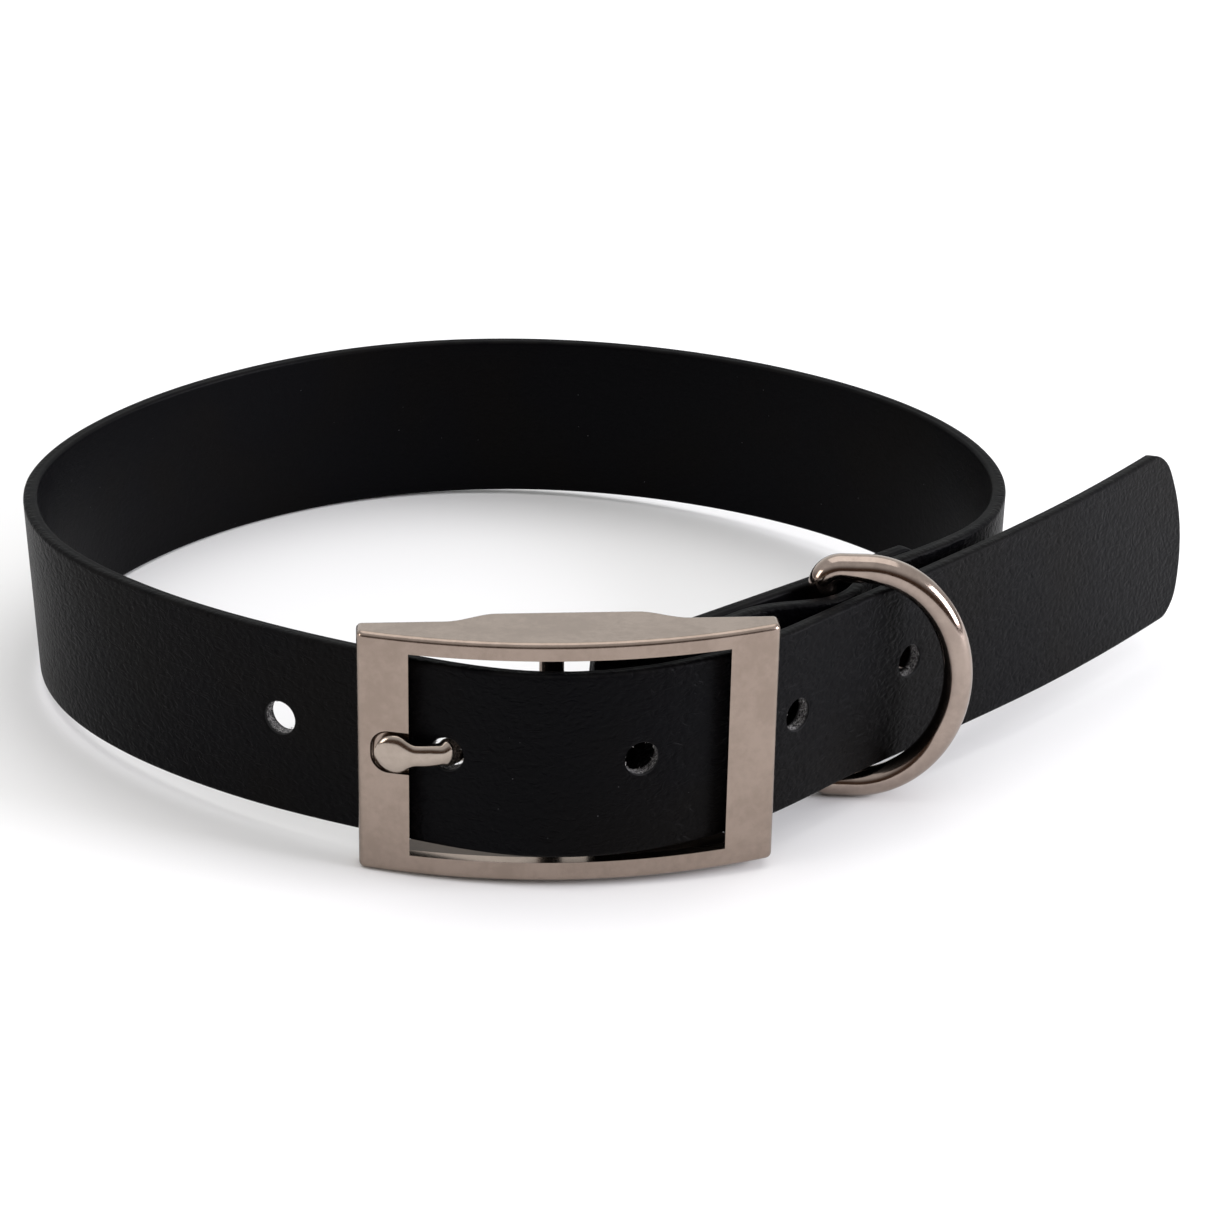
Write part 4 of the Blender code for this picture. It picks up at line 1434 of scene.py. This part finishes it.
@dataclass
class Tongue:
    """The pin of the buckle: a round head in its seat, a shank, and an eye round the centre bar."""

    webbing: Webbing
    thickness: float = 0.0015
    width: float = 0.0026
    front_width: float = 0.0030
    front_length: float = 0.0125
    root_thickness: float = 0.0023
    root_width: float = 0.0038
    root: tuple = (0.0066, 0.0120)
    collar: tuple = (0.0084, 0.0009)
    head_length: float = 0.0028
    head_width: float = 0.0052
    head_round: float = 0.0026
    neck: float = 0.0026
    pitch: float = 62.0
    wrap: float = 290.0
    wrap_start: float = -105.0
    reach: float = 0.0042
    crown: float = 2.15
    sides: int = 28
    sections: int = 190

    def _line(self) -> Path:
        """Middle line from the head to the end of the eye."""
        run = self.webbing.run
        buckle = run.buckle
        station = run.tongue_hole()
        hole = run.path.at(station)
        along = run.path.tangent(station)
        out = run.path.normal(station)
        through = along * cos(radians(self.pitch)) - out * sin(radians(self.pitch))
        above = buckle.notch_depth - GAP - self.thickness / 2
        head = [np.array([x, above - buckle.front(x)])
                for x in (-buckle.window_half - self.reach, -buckle.window_half - self.reach / 2,
                          -buckle.window_half)]
        over = run.thickness / 2 + GAP + self.thickness / 2
        knee = hole - along * (self.thickness + GAP) + out * over
        radius = run.bar.radius + GAP + self.thickness / 2
        turn = np.radians(np.linspace(self.wrap_start, self.wrap_start + self.wrap, 60))
        eye = run.bar.centre + radius * np.stack([np.cos(turn), np.sin(turn)], axis=1)
        coarse = np.radians(np.linspace(self.wrap_start, self.wrap_start + self.wrap, 16))[:2]
        join = run.bar.centre + radius * np.stack([np.cos(coarse), np.sin(coarse)], axis=1)
        knots = head + [knee, hole - through * self.thickness / 2, hole + through * over]
        start = int(np.searchsorted(turn, coarse[1]))
        return Path(np.vstack([spline(knots + list(join))[:-1], eye[start:]]))

    def _half_width(self, station: float) -> float:
        """Wide round head, then the shank, wider again where it fills the hole."""
        neck = float(smoothstep(np.array((station - self.head_length) / self.neck)))
        behind = float(smoothstep(np.array((station - self.front_length) / self.neck)))
        shank = self.front_width + (self.width - self.front_width) * behind
        start, length = self.collar
        filled = smoothstep(np.array((station - start) / length)) - smoothstep(
            np.array((station - self.root[1]) / self.neck))
        shank += (self.root_width - shank) * float(filled)
        wide = (self.head_width + (shank - self.head_width) * neck) / 2
        if station < self.head_round:
            wide *= max(0.06, 1.0 - (1.0 - station / self.head_round) ** 2) ** 0.5
        return wide

    def _thickness(self, station: float) -> float:
        """Thicker where the tongue goes through the hole."""
        rise = smoothstep(np.array((station - self.root[0]) / self.neck))
        fall = smoothstep(np.array((station - self.root[1]) / self.neck))
        return self.thickness + (self.root_thickness - self.thickness) * float(rise - fall)

    def build(self, finish: bpy.types.Material) -> bpy.types.Object:
        """Sweep the tongue.

        Args:
            finish: The plating.

        Returns:
            The piece.
        """
        line = self._line()
        stations = list(self.head_round * (1.0 - np.cos(np.linspace(0.0, pi / 2, 14, endpoint=False))))
        stations += list(np.linspace(self.head_round, line.length, self.sections))
        points = []
        for station in stations:
            middle = line.at(station)
            out = line.normal(station)
            thin = max(0.0, 1.0 - station / self.head_round)
            half = self._thickness(station) / 2 * (1.0 - 0.55 * thin ** 2)
            wide = self._half_width(station)
            for k in range(self.sides):
                turn = CIRCLE * k / self.sides
                across = abs(cos(turn)) ** (2 / self.crown) * (1 if cos(turn) > 0 else -1)
                through = abs(sin(turn)) ** (2 / self.crown) * (1 if sin(turn) > 0 else -1)
                place = middle + out * through * half
                points.append((place[0], place[1], self.webbing.rise + across * wide))
        mesh = mesh_from("tongue", points, tube_faces(len(stations), self.sides))
        mesh.materials.append(finish)
        return present("tongue_bar", smooth(mesh, 50.0), Body.COLLAR, Slot.NICKEL, "tongue")


@dataclass
class DRing:
    """The leash ring: one closed wire with a straight side that it swings about."""

    run: StrapRun
    inner_height: float = 0.0274
    depth: float = 0.0186
    corner: float = 0.0024
    round_start: float = 0.0055
    heading: float = -6.0
    wire_sides: int = 40

    def _outline(self) -> list:
        """The wire's middle line in its own plane."""
        height = self.inner_height / 2 + self.run.wire / 2
        reach = self.depth - self.round_start
        corner = [(self.corner * (1 - cos(a)), height - self.corner * (1 - sin(a)))
                  for a in np.linspace(0.0, pi / 2, 14)]
        curve = [(self.round_start + reach * cos(a), height * sin(a)) for a in np.linspace(pi / 2, -pi / 2, 97)]
        return corner + curve + [(x, -z) for x, z in reversed(corner)]

    def build(self, finish: bpy.types.Material) -> bpy.types.Object:
        """Draw the wire along its line.

        Args:
            finish: The plating.

        Returns:
            The piece.
        """
        outline = self._outline()
        count = len(outline)
        line = bpy.data.meshes.new("ring_line")
        line.from_pydata([(x, 0.0, z) for x, z in outline], [(k, (k + 1) % count) for k in range(count)], [])
        tree = Growth("ring_wire")
        radius = tree.size("Wire radius", self.run.wire / 2)
        sides = tree.size("Wire sides", self.wire_sides)
        curve = tree.node("GeometryNodeMeshToCurve", None, {"Mesh": tree.entry.outputs[0]})
        circle = tree.node("GeometryNodeCurvePrimitiveCircle", {"mode": "RADIUS"}, {
            "Resolution": sides, "Radius": radius})
        wire = tree.node("GeometryNodeCurveToMesh", None, {
            "Curve": curve.outputs[0], "Profile Curve": circle.outputs[0]})
        mesh = tree.grow(loose(line), wire.outputs[0], finish)
        face_outwards(mesh)
        turn = Matrix.Rotation(radians(self.heading), 4, "Z")
        mesh.transform(Matrix.Translation((*self.run.ring_bar, 0.0)) @ turn)
        return present("leash_ring", smooth(mesh, 50.0), Body.RING, Slot.WIRE, "d_ring")


@dataclass
class SmallHardware:
    """The centre bar and the rivets, whose solids keep their shape and get their plating."""

    names: tuple = ("centre_bar", "rivet_0", "rivet_1")

    def dress(self, nodes: dict, finish: bpy.types.Material) -> None:
        """Put the plating on the solids.

        Args:
            nodes: The frame's node objects by name.
            finish: The plating.
        """
        for name in self.names:
            for slot in nodes[name].material_slots:
                slot.material = finish
            LOG.info("%s: keeps its solid", name)


@dataclass
class Studio:
    """A pale table, soft lights and the camera at the photograph's view."""

    lens: float = 96.97
    sensor: float = 36.0
    camera: tuple = (0.0, -0.4472, 0.1954)
    roll: float = 1.1
    turn: float = 5.0
    shift: tuple = (-0.0046, -0.0739, 0.0127)
    floor: float = 6.0
    bright: tuple = (0.86, 0.86, 0.87)
    dark: tuple = (0.10, 0.060, 0.040)
    back: tuple = (1.15, 1.18, 1.18)
    world_strength: float = 1.0

    def _aim(self) -> Matrix:
        """The camera's matrix, from the frame in which its view was measured."""
        place = Vector(self.camera)
        forward = (-place).normalized()
        right = Vector((1.0, 0.0, 0.0))
        up = right.cross(forward)
        roll = radians(self.roll)
        across = right * cos(roll) + up * sin(roll)
        above = up * cos(roll) - right * sin(roll)
        view = Matrix((across, above, -forward)).transposed().to_4x4()
        view.translation = place
        level = Matrix.Rotation(radians(-self.turn), 4, "Z") @ Matrix.Translation(-Vector(self.shift))
        return rest_matrix() @ level @ view

    def _light(self, name: str, place: tuple, aim: tuple, size: tuple, power: float, colour: tuple) -> None:
        """Hang a soft light.

        Args:
            name: The light's name.
            place: Where it hangs.
            aim: What it points at.
            size: Its width and height.
            power: Its power in watts.
            colour: Its colour.
        """
        light = bpy.data.lights.new(name, "AREA")
        light.shape = "RECTANGLE"
        light.size, light.size_y = size
        light.energy = power
        light.color = colour
        item = bpy.data.objects.new(name, light)
        bpy.context.scene.collection.objects.link(item)
        item.matrix_world = turn_to(Vector(place) - Vector(aim), Vector(place))

    def build(self, floor_finish: bpy.types.Material) -> None:
        """Set the stage.

        Args:
            floor_finish: The table's finish.
        """
        scene = bpy.context.scene
        scene.view_settings.view_transform = "Standard"
        camera = bpy.data.cameras.new("camera")
        camera.lens = self.lens
        camera.sensor_width = self.sensor
        item = bpy.data.objects.new("camera", camera)
        scene.collection.objects.link(item)
        item.matrix_world = self._aim()
        scene.camera = item
        half = self.floor / 2
        mesh = bpy.data.meshes.new("floor")
        mesh.from_pydata([(x, y, 0.0) for x, y in box_outline((-half, -half), (half, half))], [], [(0, 1, 2, 3)])
        mesh.materials.append(floor_finish)
        loose(mesh)
        world = bpy.data.worlds.new("studio")
        world.use_nodes = True
        sky = Tree(world.node_tree)
        way = sky.node("ShaderNodeTexCoord").outputs["Generated"]
        split = sky.node("ShaderNodeSeparateXYZ", None, {0: way})
        height = Value(sky, split.outputs[2])
        behind = Value(sky, split.outputs[1])
        share = (height * 0.9 + behind * 0.35).ramp(-0.1, 0.5)
        back = world.node_tree.nodes["Background"]
        above = sky.blend(share, self.dark, self.bright)
        sky.feed(back.inputs["Color"], sky.blend(behind.ramp(0.5, 0.9), above, self.back))
        back.inputs["Strength"].default_value = self.world_strength
        scene.world = world
        self._light("overhead", (0.0, 0.25, 1.1), (0.0, 0.0, 0.0), (1.3, 1.1), 6.0, (1.0, 0.99, 0.98))
        self._light("left", (-1.0, -0.3, 0.30), (0.0, 0.0, 0.02), (0.4, 0.4), 2.6, (1.0, 0.95, 0.90))
        self._light("right", (1.0, -0.25, 0.35), (0.05, 0.0, 0.02), (0.5, 0.5), 13.0, (0.95, 0.94, 1.0))


def main(frame: dict) -> None:
    """Build every piece in order.

    Args:
        frame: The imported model.
    """
    logging.basicConfig(level=logging.INFO, format="%(name)s: %(message)s")
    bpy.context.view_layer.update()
    Studio().build(PaleFloor().make())
    nickel = PlatedMetal("satin_nickel", (0.295, 0.235, 0.197), (0.252, 0.199, 0.165), 0.22, 0.10, 0.000006).make()
    # Painted shade: a near-black plating for the inside of the frame, in place of the shade between strap and
    # frame.
    painted_shade_recess = PlatedMetal("cast_painted_shade", (0.075, 0.060, 0.050), (0.055, 0.044, 0.037), 0.42, 0.10, 0.000006).make()
    bright = PlatedMetal("bright_nickel", (0.375, 0.318, 0.272), (0.32, 0.27, 0.228), 0.15, 0.05, 0.000003).make()
    wire = PlatedMetal("plated_wire", (0.330, 0.268, 0.230), (0.278, 0.224, 0.192), 0.13, 0.05, 0.000002).make()
    bar = CentreBar()
    buckle = BuckleFrame(bar)
    run = StrapRun(bar, buckle)
    webbing = Webbing(run)
    strap = webbing.build(CoatedWebbing().make(), WovenCore().make())
    HoleFibres(webbing).build(Fibre("thread", (0.55, 0.54, 0.53)).make())
    DustFlecks().build(strap, Fibre("dust", (0.12, 0.12, 0.125)).make())
    buckle.build(nickel, painted_shade_recess)
    Tongue(webbing).build(bright)
    DRing(run).build(wire)
    SmallHardware().dress(frame["nodes"], nickel)
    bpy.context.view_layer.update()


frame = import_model()

if __name__ == "__main__":
    main(frame)
